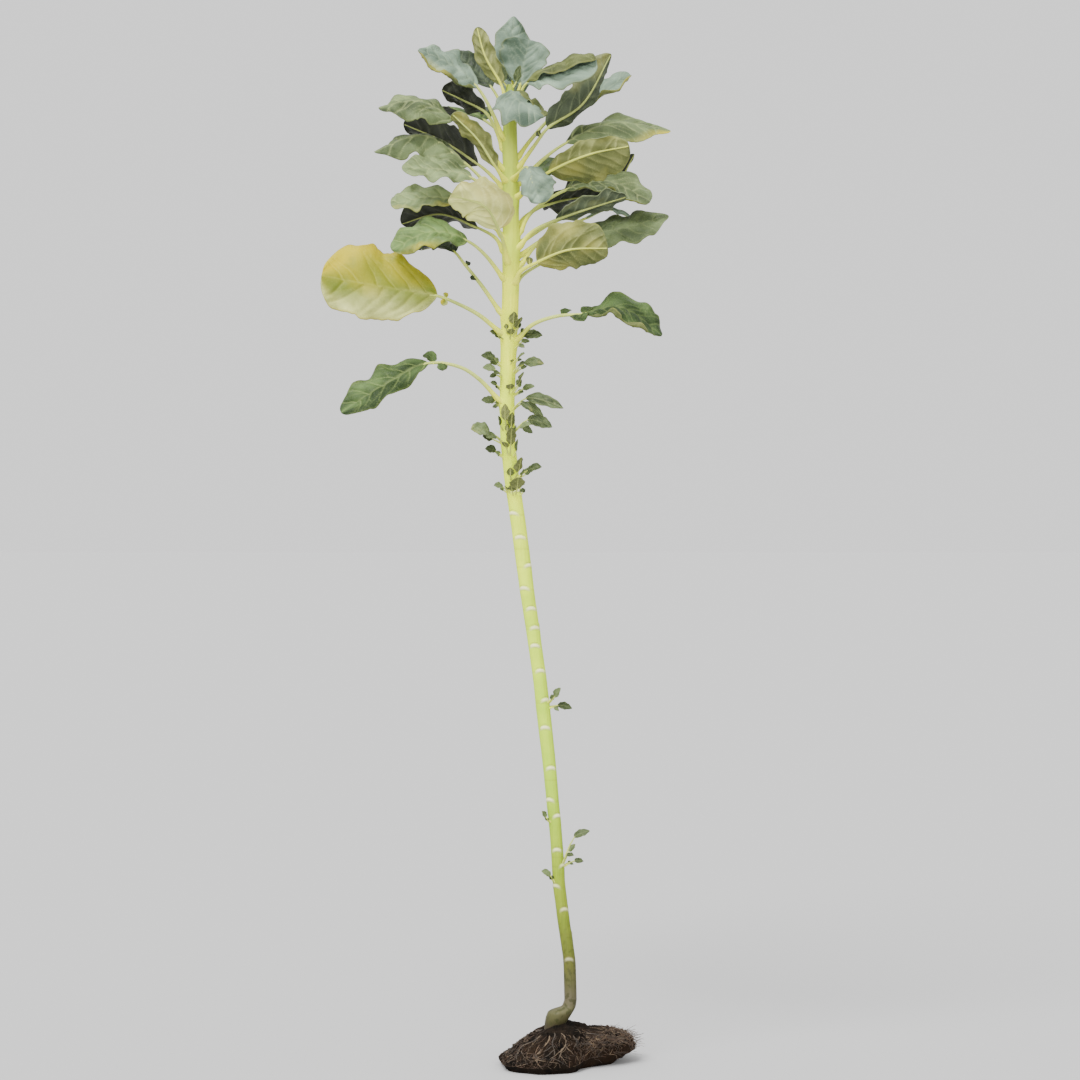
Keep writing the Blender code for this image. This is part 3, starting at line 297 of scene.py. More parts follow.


# Each leaf: height on the stem, points of its stalk and of its midrib, the way its upper face looks,
# half widths left and right of the rib, outline, fold, curl and roll of each half, where the roll runs
# from and to across it, leaflets on the stalk (place, half, size), finishes of the upper and under
# face (the dark ones partly painted shade), how the bloom with its painted light and the age vary (all
# over, to the right, to the tip), teeth of the edge (how many, how deep), how pointed it is, how strong
# its veins are, and how dark or yellow the rib is (the dark partly painted shade on ribs in shadow).
leafPlans = {
    "top_leaf_1": dict(
        stem=1.836, blade=((-0.101, 0.028, 1.857), (-0.103, 0.056, 1.919), (-0.099, 0.066, 1.9896)),
        face=(0, -1, 0.3), width=(0.038, 0.038), outline=(0.5, 0.6), seed=1, slot="leaf_glaucous",
        finish=("upperGlaucous", "underOlive"), bloomAndLight=(0.50, -0.25, 0.1), teeth=(2, 0.08), point=0.35),
    "top_leaf_2": dict(
        stem=1.819, blade=((-0.087, 0.014, 1.847), (-0.080, 0.024, 1.888), (-0.070, 0.034, 1.937)),
        face=(0.1, -1, 0.35), width=(0.050, 0.044), outline=(0.6, 0.3), seed=2, slot="leaf_glaucous",
        finish=("upperGlaucous", "underOlive"), bloomAndLight=(0.45, 0.2, -0.4)),
    "top_leaf_3": dict(
        stem=1.816, blade=((-0.122, -0.016, 1.843), (-0.152, -0.028, 1.895), (-0.167, -0.032, 1.948)),
        face=(0.1, 1, 0.2), width=(0.022, 0.024), outline=(0.5, 0.45), fold=(25, 35), seed=3,
        slot="leaf_underside", finish=("upperGlaucous", "underOlive"), bloomAndLight=(0.7, 0, 0.4), ribDark=0.3,
        stalkAge=0.8),
    "top_leaf_4": dict(
        stem=1.795, blade=((-0.141, 0.045, 1.849), (-0.180, 0.080, 1.894), (-0.214, 0.095, 1.927)),
        face=(0, -0.8, 0.6), width=(0.026, 0.026), seed=5, slot="leaf_glaucous",
        finish=("upperDarkAndShade", "underDarkAndShade"), bloomAndLight=(0.6, 0, 0)),
    "top_leaf_5": dict(
        stem=1.799, stalk=((-0.087, -0.004, 1.824),),
        blade=((-0.075, -0.016, 1.845), (-0.015, -0.044, 1.860), (0.056, -0.058, 1.881)),
        face=(-0.2, -0.7, 0.65), width=(0.056, 0.042), outline=(0.7, 0.28), fold=(30, 0), curl=(55, -20),
        roll=(115, 0), rollFrom=0.22, rollTo=0.52, seed=6, slot="leaf_glaucous",
        finish=("upperGlaucous", "underMoss"), bloomAndLight=(0.72, 0, 0.1)),
    "top_leaf_6": dict(
        stem=1.806, blade=((-0.103, -0.024, 1.828), (-0.091, -0.072, 1.804), (-0.046, -0.114, 1.763)),
        face=(0.1, -0.6, 0.75), width=(0.060, 0.050), outline=(0.5, 0.4), fold=(-10, -10),
        curl=(-20, -30), roll=(215, 0), rollFrom=0.50, rollTo=0.76, seed=7, slot="leaf_glaucous",
        finish=("upperGlaucous", "underMoss"), bloomAndLight=(0.50, -0.1, -0.4), age=(-0.5, 0.4, 0.4)),
    "left_leaf_1": dict(
        stem=1.742, stalk=((-0.141, -0.022, 1.795),),
        blade=((-0.166, -0.034, 1.835), (-0.212, -0.062, 1.869), (-0.275, -0.072, 1.897)),
        face=(0.2, -0.7, 0.7), width=(0.050, 0.040), outline=(0.5, 0.45), fold=(0, 5), curl=(-50, 0),
        roll=(225, 0), rollFrom=0.60, rollTo=0.82, seed=4, slot="leaf_glaucous",
        finish=("upperGlaucous", "underMoss"), bloomAndLight=(0.7, 0, -0.2), age=(-0.4, -0.8, 0.6), point=0.4),
    "left_leaf_2": dict(
        stem=1.685, stalk=((-0.157, -0.026, 1.734),),
        blade=((-0.211, -0.040, 1.773), (-0.275, -0.058, 1.803), (-0.349, -0.066, 1.790)),
        face=(0, -0.55, 0.85), width=(0.050, 0.040), outline=(0.5, 0.5), fold=(-5, 0), curl=(-30, -10),
        seed=20, slot="leaf_glaucous", finish=("upperSage", "underDarkAndShade"), bloomAndLight=(0.50, 0.2, -0.2),
        point=0.5),
    "left_leaf_3": dict(
        stem=1.652, stalk=((-0.144, 0.026, 1.682),),
        blade=((-0.167, 0.040, 1.703), (-0.230, 0.066, 1.749), (-0.311, 0.078, 1.786)),
        face=(0, 0.6, 0.8), width=(0.046, 0.044), seed=21, slot="leaf_shaded",
        finish=("upperDarkAndShade", "underDarkAndShade"), bloomAndLight=(0.35, 0, 0), ribDark=0.95),
    "left_leaf_4": dict(
        stem=1.723, stalk=((-0.132, 0.014, 1.763),),
        blade=((-0.153, 0.022, 1.799), (-0.194, 0.038, 1.824), (-0.236, 0.046, 1.845)),
        face=(0, 0.6, 0.8), width=(0.034, 0.030), seed=22, slot="leaf_shaded",
        finish=("upperDarkAndShade", "underDarkAndShade"), bloomAndLight=(0.35, 0, 0), ribDark=0.95),
    "left_leaf_5": dict(
        stem=1.663, blade=((-0.131, -0.030, 1.685), (-0.164, -0.050, 1.734), (-0.212, -0.068, 1.779)),
        face=(0.5, 0.8, 0.4), width=(0.023, 0.022), outline=(0.5, 0.4), fold=(15, 15), seed=23,
        slot="leaf_underside", finish=("upperGlaucous", "underOlive"), bloomAndLight=(0.8, 0, 0.3),
        age=(-0.1, 0, 0.8), teeth=(3, 0.20)),
    "left_leaf_6": dict(
        stem=1.621, stalk=((-0.150, -0.022, 1.656),),
        blade=((-0.183, -0.034, 1.688), (-0.264, -0.056, 1.740), (-0.357, -0.066, 1.709)),
        face=(0.1, -0.5, 0.85), width=(0.042, 0.034), outline=(0.5, 0.5), fold=(-35, -10),
        curl=(-30, -10), seed=24, slot="leaf_green", finish=("upperSage", "underDarkAndShade"),
        bloomAndLight=(0.42, -0.3, -0.3), point=0.5),
    "left_leaf_7": dict(
        stem=1.587, stalk=((-0.138, -0.048, 1.630),),
        blade=((-0.175, -0.066, 1.660), (-0.237, -0.086, 1.672), (-0.304, -0.096, 1.674)),
        face=(0, -0.75, 0.65), width=(0.036, 0.032), seed=25, slot="leaf_green",
        finish=("upperSage", "underDarkAndShade"), bloomAndLight=(0.85, 0, 0.0), teeth=(3, 0.18)),
    "left_leaf_8": dict(
        stem=1.557, stalk=((-0.154, -0.030, 1.598),),
        blade=((-0.202, -0.042, 1.619), (-0.257, -0.056, 1.625), (-0.325, -0.070, 1.608)),
        face=(0, -0.7, 0.7), width=(0.038, 0.034), outline=(0.5, 0.4), seed=26, slot="leaf_green",
        finish=("upperSage", "underDarkAndShade"), bloomAndLight=(1.05, 0, 0.1), age=(-0.5, -0.9, 0), teeth=(3, 0.18)),
    "left_leaf_9": dict(
        stem=1.531, stalk=((-0.133, 0.022, 1.560),),
        blade=((-0.167, 0.034, 1.581), (-0.241, 0.066, 1.612), (-0.315, 0.084, 1.595)),
        face=(0, 0.5, 0.85), width=(0.044, 0.040), seed=27, slot="leaf_shaded",
        finish=("upperDarkAndShade", "underDarkAndShade"), bloomAndLight=(0.45, 0, 0), ribDark=0.9),
    "left_leaf_10": dict(
        stem=1.478, stalk=((-0.153, -0.044, 1.522),),
        blade=((-0.184, -0.062, 1.544), (-0.248, -0.088, 1.557), (-0.322, -0.104, 1.522)),
        face=(0, -0.8, 0.6), width=(0.036, 0.036), outline=(0.5, 0.45), curl=(-20, -20), seed=29,
        slot="leaf_green", finish=("upperGreen", "underDarkAndShade"), bloomAndLight=(0.95, 0.1, -0.2),
        age=(-0.45, -0.8, 0.5)),
    "left_leaf_11": dict(
        stem=1.414, stalk=((-0.158, -0.006, 1.466), (-0.194, 0.004, 1.512)),
        blade=((-0.210, 0.010, 1.532), (-0.240, 0.040, 1.547), (-0.279, 0.070, 1.543)),
        face=(0, -0.3, 0.95), width=(0.036, 0.032), leaflets=((0.55, 0, 0.012), (0.8, 1, 0.012)), seed=30,
        slot="leaf_shaded", finish=("upperDarkAndShade", "underDarkAndShade"), bloomAndLight=(0.3, 0, 0), ribDark=0.8),
    "front_leaf_1": dict(
        stem=1.667, stalk=((-0.090, -0.034, 1.673),),
        blade=((-0.074, -0.058, 1.682), (-0.063, -0.084, 1.652), (-0.048, -0.092, 1.610)),
        face=(0.1, -0.95, 0.3), width=(0.046, 0.026), outline=(0.4, 0.45), fold=(-20, -20), seed=12,
        slot="leaf_glaucous", finish=("upperGlaucous", "underPale"), bloomAndLight=(0.85, 0, 0), teeth=(2, 0.12)),
    "front_leaf_2": dict(
        stem=1.508, stalk=((-0.116, -0.034, 1.538),),
        blade=((-0.126, -0.060, 1.566), (-0.151, -0.1025, 1.603), (-0.212, -0.1265, 1.620)),
        face=(0.2, 0.7, 0.6), width=(0.050, 0.056), outline=(0.4, 0.4), fold=(5, 5), curl=(20, 20),
        seed=28, slot="leaf_pale", finish=("upperPale", "underPale"), bloomAndLight=(0.85, 0.3, 0.4),
        age=(-0.1, -0.5, -0.6), teeth=(4, 0.08)),
    "right_leaf_1": dict(
        stem=1.689, stalk=((-0.060, -0.006, 1.730),),
        blade=((-0.034, -0.006, 1.764), (0.030, -0.002, 1.809), (0.085, 0.006, 1.905)),
        face=(-0.6, 0.6, 0.3), width=(0.040, 0.044), outline=(0.45, 0.5), fold=(10, 10), curl=(20, 30),
        roll=(70, 60), leaflets=((0.8, 1, 0.012),), seed=8, slot="leaf_shaded",
        finish=("upperGlaucous", "underGrey"), bloomAndLight=(0.50, 0.3, 0.3), age=(-0.2, 0.3, 0.9),
        teeth=(3, 0.16), ribDark=0.6),
    "right_leaf_2": dict(
        stem=1.708, stalk=((-0.064, 0.026, 1.750),),
        blade=((-0.019, 0.052, 1.800), (0.057, 0.074, 1.837), (0.125, 0.080, 1.880)),
        face=(-0.2, -0.65, 0.7), width=(0.034, 0.036), outline=(0.5, 0.35), roll=(0, 110), seed=9,
        slot="leaf_glaucous", finish=("upperGlaucous", "underOlive"), bloomAndLight=(0.6, 0.2, 0),
        age=(-0.7, 0.7, 0.8)),
    "right_leaf_3": dict(
        stem=1.659, stalk=((-0.049, 0.008, 1.702),),
        blade=((0.000, 0.016, 1.739), (0.091, 0.034, 1.778), (0.1997, 0.042, 1.766)),
        face=(-0.1, -0.35, 0.93), width=(0.042, 0.048), outline=(0.6, 0.5), fold=(10, -10), curl=(0, -60),
        roll=(0, 40), seed=10, slot="leaf_green", finish=("upperSage", "underPale"), bloomAndLight=(0.5, 0, 0.5),
        age=(-0.9, 1.0, 1.7), point=0.5),
    "right_leaf_4": dict(
        stem=1.633, stalk=((-0.067, -0.026, 1.651),),
        blade=((-0.032, -0.046, 1.675), (0.044, -0.078, 1.703), (0.116, -0.088, 1.716)),
        face=(0, 0.85, 0.5), width=(0.060, 0.028), outline=(0.5, 0.4), fold=(5, 5), curl=(10, 10),
        seed=11, slot="leaf_underside", finish=("upperGlaucous", "underOlive"), bloomAndLight=(0.62, 0.3, 0.5),
        age=(-0.05, 0, -0.4), ribDark=0.40, stalkAge=0.8),
    "right_leaf_5": dict(
        stem=1.576, stalk=((-0.080, 0.024, 1.598),),
        blade=((-0.042, 0.050, 1.625), (0.017, 0.092, 1.646), (0.093, 0.120, 1.654)),
        face=(-0.2, 0.5, 0.8), width=(0.046, 0.046), seed=13, slot="leaf_shaded",
        finish=("upperDarkAndShade", "underDarkAndShade"), bloomAndLight=(0.45, 0, 0), ribDark=0.9),
    "right_leaf_6": dict(
        stem=1.565, stalk=((-0.068, 0.008, 1.604),),
        blade=((0.000, 0.014, 1.650), (0.079, 0.010, 1.664), (0.158, 0.000, 1.625)),
        face=(0.15, -0.6, 0.8), width=(0.044, 0.044), outline=(0.55, 0.35), fold=(10, 5), curl=(0, -20),
        roll=(0, 100), rollFrom=0.7, seed=14, slot="leaf_glaucous", finish=("upperSage", "underOlive"),
        bloomAndLight=(0.35, 0, 0.5)),
    "right_leaf_7": dict(
        stem=1.546, stalk=((-0.034, 0.060, 1.590),),
        blade=((0.069, 0.085, 1.641), (0.104, 0.088, 1.680), (0.132, 0.084, 1.729)),
        face=(-0.7, 0.5, 0.2), width=(0.015, 0.015), fold=(30, 30), seed=15, slot="leaf_shaded",
        finish=("upperDarkAndShade", "underDarkAndShade"), bloomAndLight=(0.45, 0, 0), veining=0.7, ribDark=0.8),
    "right_leaf_8": dict(
        stem=1.538, stalk=((-0.064, -0.018, 1.566),),
        blade=((-0.019, -0.034, 1.587), (0.048, -0.052, 1.608), (0.112, -0.056, 1.627)),
        face=(-0.2, 0.6, 0.75), width=(0.024, 0.028), seed=16, slot="leaf_underside",
        finish=("upperGlaucous", "underGrey"), bloomAndLight=(0.55, 0, 0), age=(-0.1, 0, 0), ribDark=0.5),
    "right_leaf_9": dict(
        stem=1.504, stalk=((-0.049, 0.004, 1.550),),
        blade=((0.026, 0.010, 1.564), (0.098, 0.006, 1.573), (0.194, 0.004, 1.599)),
        face=(0, -0.65, 0.75), width=(0.042, 0.040), outline=(0.5, 0.5), fold=(5, 0), curl=(0, -30),
        seed=17, slot="leaf_shaded", finish=("upperSage", "underOlive"), bloomAndLight=(0.30, 0.2, 0.0),
        teeth=(2, 0.05), point=0.4, veining=0.3, wave=(0.0035, 2.0)),
    "right_leaf_10": dict(
        stem=1.523, stalk=((-0.040, 0.040, 1.562),),
        blade=((0.034, 0.054, 1.600), (0.082, 0.054, 1.619), (0.129, 0.046, 1.599)), face=(0, -0.5, 0.85),
        width=(0.010, 0.010), seed=18, slot="leaf_glaucous", finish=("upperGlaucous", "underPale"),
        bloomAndLight=(0.8, 0, 0)),
    "right_leaf_11": dict(
        stem=1.471, stalk=((-0.086, -0.030, 1.490),),
        blade=((-0.054, -0.048, 1.506), (0.004, -0.082, 1.525), (0.076, -0.098, 1.526)),
        face=(0.1, 0.9, 0.35), width=(0.046, 0.054), outline=(0.45, 0.4), fold=(5, 5), curl=(20, 30),
        roll=(90, 0), rollFrom=0.75, leaflets=((0.75, 1, 0.014),), seed=19, slot="leaf_underside",
        finish=("upperGlaucous", "underOlive"), bloomAndLight=(0.42, 0.1, 0), age=(0.10, 0, -0.4),
        teeth=(2, 0.14), ribDark=0.40, stalkAge=0.8),
    "low_leaf_1": dict(
        stem=1.376, stalk=((-0.161, -0.028, 1.408), (-0.198, -0.044, 1.427)),
        blade=((-0.240, -0.060, 1.442), (-0.334, -0.090, 1.454), (-0.4515, -0.104, 1.474)),
        face=(0, -0.92, 0.35), width=(0.066, 0.080), outline=(0.62, 0.4), fold=(-5, 5), curl=(-10, -10),
        leaflets=((0.9, 0, 0.014), (0.9, 1, 0.010)), seed=31, slot="leaf_yellow",
        finish=("upperYellow", "underOlive"), bloomAndLight=(-0.08, -1.0, -0.3), age=(0.10, 0.85, 1.0),
        teeth=(3, 0.07)),
    "low_leaf_2": dict(
        stem=1.365, stalk=((-0.064, -0.016, 1.392), (-0.019, -0.030, 1.407)),
        blade=((0.034, -0.046, 1.410), (0.100, -0.066, 1.419), (0.176, -0.080, 1.366)),
        face=(0.15, -0.55, 0.85), width=(0.044, 0.056), outline=(0.5, 0.4), curl=(0, -40), roll=(0, 200),
        rollFrom=0.66, rollTo=0.86, leaflets=((0.72, 0, 0.022), (0.95, 1, 0.034), (0.98, 0, 0.026)),
        seed=32, slot="leaf_shaded", finish=("upperGreen", "underOlive"), bloomAndLight=(0.10, -0.1, 0),
        teeth=(3, 0.14), point=0.5, veining=0.45),
    "low_leaf_3": dict(
        stem=1.248, stalk=((-0.161, -0.026, 1.288), (-0.198, -0.040, 1.311)),
        blade=((-0.257, -0.056, 1.317), (-0.333, -0.078, 1.277), (-0.416, -0.088, 1.223)),
        face=(-0.3, -0.8, 0.5), width=(0.036, 0.040), outline=(0.6, 0.5), curl=(-10, -10),
        leaflets=((0.85, 0, 0.020), (0.92, 1, 0.026)), seed=33, slot="leaf_green",
        finish=("upperGreen", "underOlive"), bloomAndLight=(0.22, 0.3, 0), veining=0.75),
    "back_leaf_1": dict(
        stem=1.731, stalk=((-0.126, 0.060, 1.767),),
        blade=((-0.156, 0.095, 1.796), (-0.197, 0.150, 1.822), (-0.249, 0.215, 1.814)), face=(0, -0.2, 1),
        width=(0.048, 0.048), seed=34, slot="leaf_green", finish=("upperGreen", "underDarkAndShade"),
        bloomAndLight=(0.5, 0, 0)),
    "back_leaf_2": dict(
        stem=1.606, stalk=((-0.088, 0.060, 1.645),),
        blade=((-0.050, 0.100, 1.682), (-0.002, 0.160, 1.718), (0.059, 0.2213, 1.724)), face=(0, -0.2, 1),
        width=(0.050, 0.050), seed=35, slot="leaf_green", finish=("upperGreen", "underOlive"),
        bloomAndLight=(0.5, 0, 0)),
    "back_leaf_3": dict(
        stem=1.546, stalk=((-0.126, 0.060, 1.576),),
        blade=((-0.166, 0.100, 1.605), (-0.207, 0.160, 1.628), (-0.249, 0.2241, 1.617)),
        face=(0, -0.2, 1), width=(0.048, 0.048), seed=36, slot="leaf_green",
        finish=("upperGreen", "underDarkAndShade"), bloomAndLight=(0.4, 0, 0)),
    "back_leaf_4": dict(
        stem=1.455, stalk=((-0.084, 0.060, 1.492),),
        blade=((-0.040, 0.100, 1.524), (0.012, 0.160, 1.554), (0.063, 0.215, 1.549)), face=(0, -0.2, 1),
        width=(0.050, 0.050), seed=37, slot="leaf_green", finish=("upperGreen", "underOlive"),
        bloomAndLight=(0.5, 0, 0)),
    "back_leaf_5": dict(
        stem=1.772, stalk=((-0.103, 0.050, 1.808),),
        blade=((-0.100, 0.080, 1.840), (-0.093, 0.130, 1.880), (-0.083, 0.190, 1.880)), face=(0, -0.2, 1),
        width=(0.042, 0.042), seed=38, slot="leaf_glaucous", finish=("upperGlaucous", "underOlive"),
        bloomAndLight=(0.7, 0, 0)),
}



def smoothRoute(points, steps=24):
    knots = np.asarray(points, float)
    knots = np.vstack([2 * knots[0] - knots[1], knots, 2 * knots[-1] - knots[-2]])
    gaps = np.sqrt(np.linalg.norm(np.diff(knots, axis=0), axis=1))
    times = np.concatenate([[0], np.cumsum(gaps)])
    route = []
    for first in range(len(knots) - 3):
        p0, p1, p2, p3 = knots[first:first + 4]
        t0, t1, t2, t3 = times[first:first + 4]
        for t in np.linspace(t1, t2, steps, endpoint=False):
            a1 = ((t1 - t) * p0 + (t - t0) * p1) / (t1 - t0)
            a2 = ((t2 - t) * p1 + (t - t1) * p2) / (t2 - t1)
            a3 = ((t3 - t) * p2 + (t - t2) * p3) / (t3 - t2)
            b1 = ((t2 - t) * a1 + (t - t0) * a2) / (t2 - t0)
            b2 = ((t3 - t) * a2 + (t - t1) * a3) / (t3 - t1)
            route.append(((t2 - t) * b1 + (t - t1) * b2) / (t2 - t1))
    route.append(knots[-2])
    route = np.array(route)
    return route, np.concatenate([[0], np.cumsum(np.linalg.norm(np.diff(route, axis=0), axis=1))])


def readRoute(route, lengths, places):
    near = 0.01 * lengths[-1]

    def at(where):
        where = np.clip(where, 0, lengths[-1])
        return np.stack([np.interp(where, lengths, route[:, axis]) for axis in range(3)], axis=-1)

    ways = at(places + near) - at(places - near)
    return at(places), ways / np.linalg.norm(ways, axis=1)[:, None]


def carriedNormals(ways, middle, face):  # carried both ways from the middle without twist
    normals = np.zeros_like(ways)
    face = np.asarray(face, float)
    normals[middle] = unit(face - np.dot(face, ways[middle]) * ways[middle])
    for order in (range(middle + 1, len(ways)), range(middle - 1, -1, -1)):
        last = middle
        for i in order:
            normals[i] = unit(normals[last] - np.dot(normals[last], ways[i]) * ways[i])
            last = i
    return normals


def outlineShare(share, outline):
    heel, tip = outline
    widest = heel / (heel + tip)
    most = widest ** heel * (1 - widest) ** tip
    return np.clip(share, 0, 1) ** heel * np.clip(1 - share, 0, 1) ** tip / most


leafBuild = {
    "rowStep": 0.0019,  # along a blade
    "columnStep": 0.0023,  # from the rib to each edge
    "stalkRows": 18,
    "ribRows": 44,
    "stalkSides": 12,
    "thickness": 0.0009,
    "sideVeins": 6,  # to each half
    "veinAngle": 57.0,
    "veinWander": 0.0012,
    "veinPace": 170.0,
    "veinHalfWidth": 0.0011,
    "branchHalfWidth": 0.0008,
    "veinRelief": 0.0007,
    "quilting": 0.0026,
    "ruffle": (0.0036, 3.4),  # height at the edge, waves along the blade
    "vein": {"jitter": 0.22, "tilt": 12, "bend": (0.4, 1.7), "forks": (0.2, 0.42, 0.66)},
    "looseFrom": 0.02,  # a half this wide past the rib takes its full waves
    "fineRuffle": 0.16,
    "swell": 0.0016,
    "quiltHalf": 0.0045,
    "wave": (0.006, 2.5),
    "teeth": (3, 0.07),
    "trough": 0.72,  # of the lobes
    "fineLobes": (0.013, 0.008),
    "edgeFrom": 0.90,
    "grooves": 0.4,  # above, for each vein's relief below
    "ribEnd": 0.0009,
    "ribTaper": 0.8,
    "ribDrop": 0.45,
    "stalk": (0.0048, 0.0028),
    "topStalk": (0.0038, 0.0025),
    "sunk": 0.004,  # into the stem
    "flare": (0.5, 0.012),  # of the stalk's base, and its reach
    "baseAge": 1.2,  # coloured like the stem there
    "baseReach": 0.035,
    "leafletStalk": (0.0009, 0.0008),
    "leafletSunk": 0.002,
}

leafletPlan = {
    "outline": (0.55, 0.4), "fold": (10, 10), "curl": (0, 0), "roll": (0, 0), "leaflets": (),
    "wave": (0.0015, 1.5), "ruffle": (0.0006, 3.0), "teeth": (2, 0.2), "sideVeins": 3, "flare": 0.0,
    "baseReach": 0.001,
}


def veinLines(along, far, most, length, count, half, draw):
    # the distance to the side veins, and a map with 1 on each line
    vein = leafBuild["vein"]
    nearest = np.full(np.broadcast(along, far).shape, 1.0)
    fineness = min(1.0, 0.25 + most / 0.035)  # the veins of small leaves are finer
    lines = np.zeros_like(nearest)
    share = far / most
    for number in range(count):
        place = number + 0.25 + 0.35 * half + draw.uniform(-vein["jitter"], vein["jitter"])
        start = place / count * 0.9 * length
        angle = math.radians(leafBuild["veinAngle"] + draw.uniform(-vein["tilt"], vein["tilt"]))
        bend, turn = draw.uniform(*vein["bend"]), draw.uniform(0, 2 * math.pi)
        wander = leafBuild["veinWander"] * np.sin(far * leafBuild["veinPace"] + turn)

        def course(reach, start=start, angle=angle, bend=bend):
            return start + reach / math.tan(angle) * (1 + bend * reach / most)

        gap = np.abs(along - course(far) - wander) * math.sin(angle)
        nearest = np.minimum(nearest, gap)
        thick = fineness * leafBuild["veinHalfWidth"] * (1.15 - 0.65 * share)
        lines = np.maximum(lines, np.exp(-(gap / thick) ** 2) * (1 - 0.55 * share ** 2))
        for fork in vein["forks"]:
            root = most * (fork + draw.uniform(-0.08, 0.08))
            steep = draw.uniform(14, 30) if draw.uniform() < 0.5 else draw.uniform(75, 110)
            lean = 1 / math.tan(math.radians(steep))
            gap = np.abs(along - course(root) - wander - (far - root) * lean) / math.hypot(1, lean)
            branch = np.exp(-(gap / (fineness * leafBuild["branchHalfWidth"])) ** 2) * (far > root)
            fade = np.exp(-((far - root) / (0.28 * most)) ** 2)
            lines = np.maximum(lines, 0.6 * branch * fade)
    return nearest, lines


def bladePiece(name, middles, ways, normals, shares, rib, reaches, plan, length, rows, columns):
    draw = np.random.default_rng(plan["seed"] + 500)
    phases = np.random.default_rng(plan["seed"]).uniform(0, 2 * math.pi, 4)
    sides = np.cross(ways, normals)
    across = np.linspace(-1, 1, 2 * columns + 1)
    skin = np.zeros((rows + 1, len(across), 3))
    veins = np.zeros((rows + 1, len(across)))
    share = shares[:, None]
    fade = np.clip(np.sin(math.pi * share), 0, 1) ** 0.6
    fine = np.linspace(0, 1, 61)
    waveHigh, waveCount = plan.get("wave", leafBuild["wave"])
    ruffleHigh, ruffleCount = plan.get("ruffle", leafBuild["ruffle"])
    count = plan.get("sideVeins", leafBuild["sideVeins"])
    for half, sign in ((0, -1), (1, 1)):
        picks = np.arange(columns, 2 * columns + 1) if half else np.arange(columns, -1, -1)
        s = np.abs(across[picks])[None, :]
        turned = plan["roll"][half] * ramp(fine, plan["rollFrom"], plan["rollTo"])
        slope = np.radians(plan["fold"][half] + plan["curl"][half] * fine + turned)
        outs = np.concatenate([[0], np.cumsum((np.cos(slope[1:]) + np.cos(slope[:-1])) / 2)]) / 60
        lifts = np.concatenate([[0], np.cumsum((np.sin(slope[1:]) + np.sin(slope[:-1])) / 2)]) / 60
        spare = np.maximum(reaches[half] - rib, 0)[:, None]
        broad = np.minimum(1, spare / leafBuild["looseFrom"])
        out = 0.8 * rib[:, None] * s + spare * np.interp(s, fine, outs)
        lift = spare * np.interp(s, fine, lifts)
        lift = lift + waveHigh * broad * fade * s ** 2 * np.sin(
            2 * math.pi * waveCount * share + phases[2 + half])
        turn, turnFine, turnSlow = draw.uniform(0, 2 * math.pi, 3)
        pace = share + 0.03 * np.sin(9 * share + turnSlow)
        lift = lift + ruffleHigh * broad * fade * s ** 3 * np.sin(2 * math.pi * ruffleCount * pace + turn)
        lift = lift + leafBuild["fineRuffle"] * ruffleHigh * broad * fade * s ** 5 * np.sin(
            5.2 * math.pi * ruffleCount * pace + turnFine)
        lift = lift + leafBuild["swell"] * broad * s * (1 - s) * 4 * np.sin(
            2 * math.pi * (2.1 * share + 0.8 * s) + turnSlow)
        far = spare * s
        most = float(np.max(spare)) + 1e-6
        near, mask = veinLines(share * length, far, most, length, count, half, draw)
        between = 1 - np.exp(-(near / leafBuild["quiltHalf"]) ** 2)  # the blade swells between its veins
        lift = lift + leafBuild["quilting"] * broad * between * (1 - s ** 4)
        skin[:, picks] = (middles[:, None] + sign * out[..., None] * sides[:, None]
                          + lift[..., None] * normals[:, None])
        ribLine = np.exp(-(out / (1.1 * rib[:, None])) ** 2) * (1 - 0.5 * share)
        veins[:, picks] = np.maximum(mask * np.minimum(1, spare / 0.008), ribLine)
    c = across[None, :]
    wobble = 0.19 * np.sin(6 * share + 3 * c + phases[0]) + 0.14 * np.sin(11 * share - 5 * c + phases[1])
    wobble = wobble * min(1.0, length / 0.08)
    fields = np.zeros((rows + 1, len(across), 4))
    fields[..., 0] = veins * min(1.0, 0.15 + length / 0.15) * plan.get("veining", 1.0)
    fields[..., 1] = ramp(np.abs(c), leafBuild["edgeFrom"], 1.0) * np.ones_like(share)
    # bloom channel: the waxy coat, and painted light where a leaf looks sunlit; it varies to the right
    # and to the tip
    for channel, key, usual in ((2, "age", (-1, 0, 0)), (3, "bloomAndLight", (0.5, 0, 0))):
        base, toSide, toTip = plan.get(key, usual)
        fields[..., channel] = np.clip(base + toSide * c + toTip * (share - 0.5) + wobble, 0, 1)
    blade = gridPiece(name, skin)
    paint(blade, "leafPaint", fields)
    for finish in plan["finish"]:
        blade.data.materials.append(leafMaterials[finish])
    thick = blade.modifiers.new("thickness", "SOLIDIFY")
    thick.thickness = leafBuild["thickness"]
    thick.offset = 0
    thick.material_offset = 1
    bpy.ops.object.modifier_apply(modifier=thick.name)
    # the side veins stand out below and lie in grooves above
    pointCount = len(blade.data.vertices)
    places = np.empty(pointCount * 3, np.float32)
    blade.data.vertices.foreach_get("co", places)
    places = places.reshape(2, -1, 3)
    upward = places[0] - places[1]
    upward = upward / np.linalg.norm(upward, axis=1)[:, None]
    relief = leafBuild["veinRelief"] * veins.reshape(-1, 1)
    places[0] -= leafBuild["grooves"] * relief * upward
    places[1] -= relief * upward
    blade.data.vertices.foreach_set("co", places.ravel())
    blade.data.update()
    bpy.ops.object.shade_smooth()
    return blade


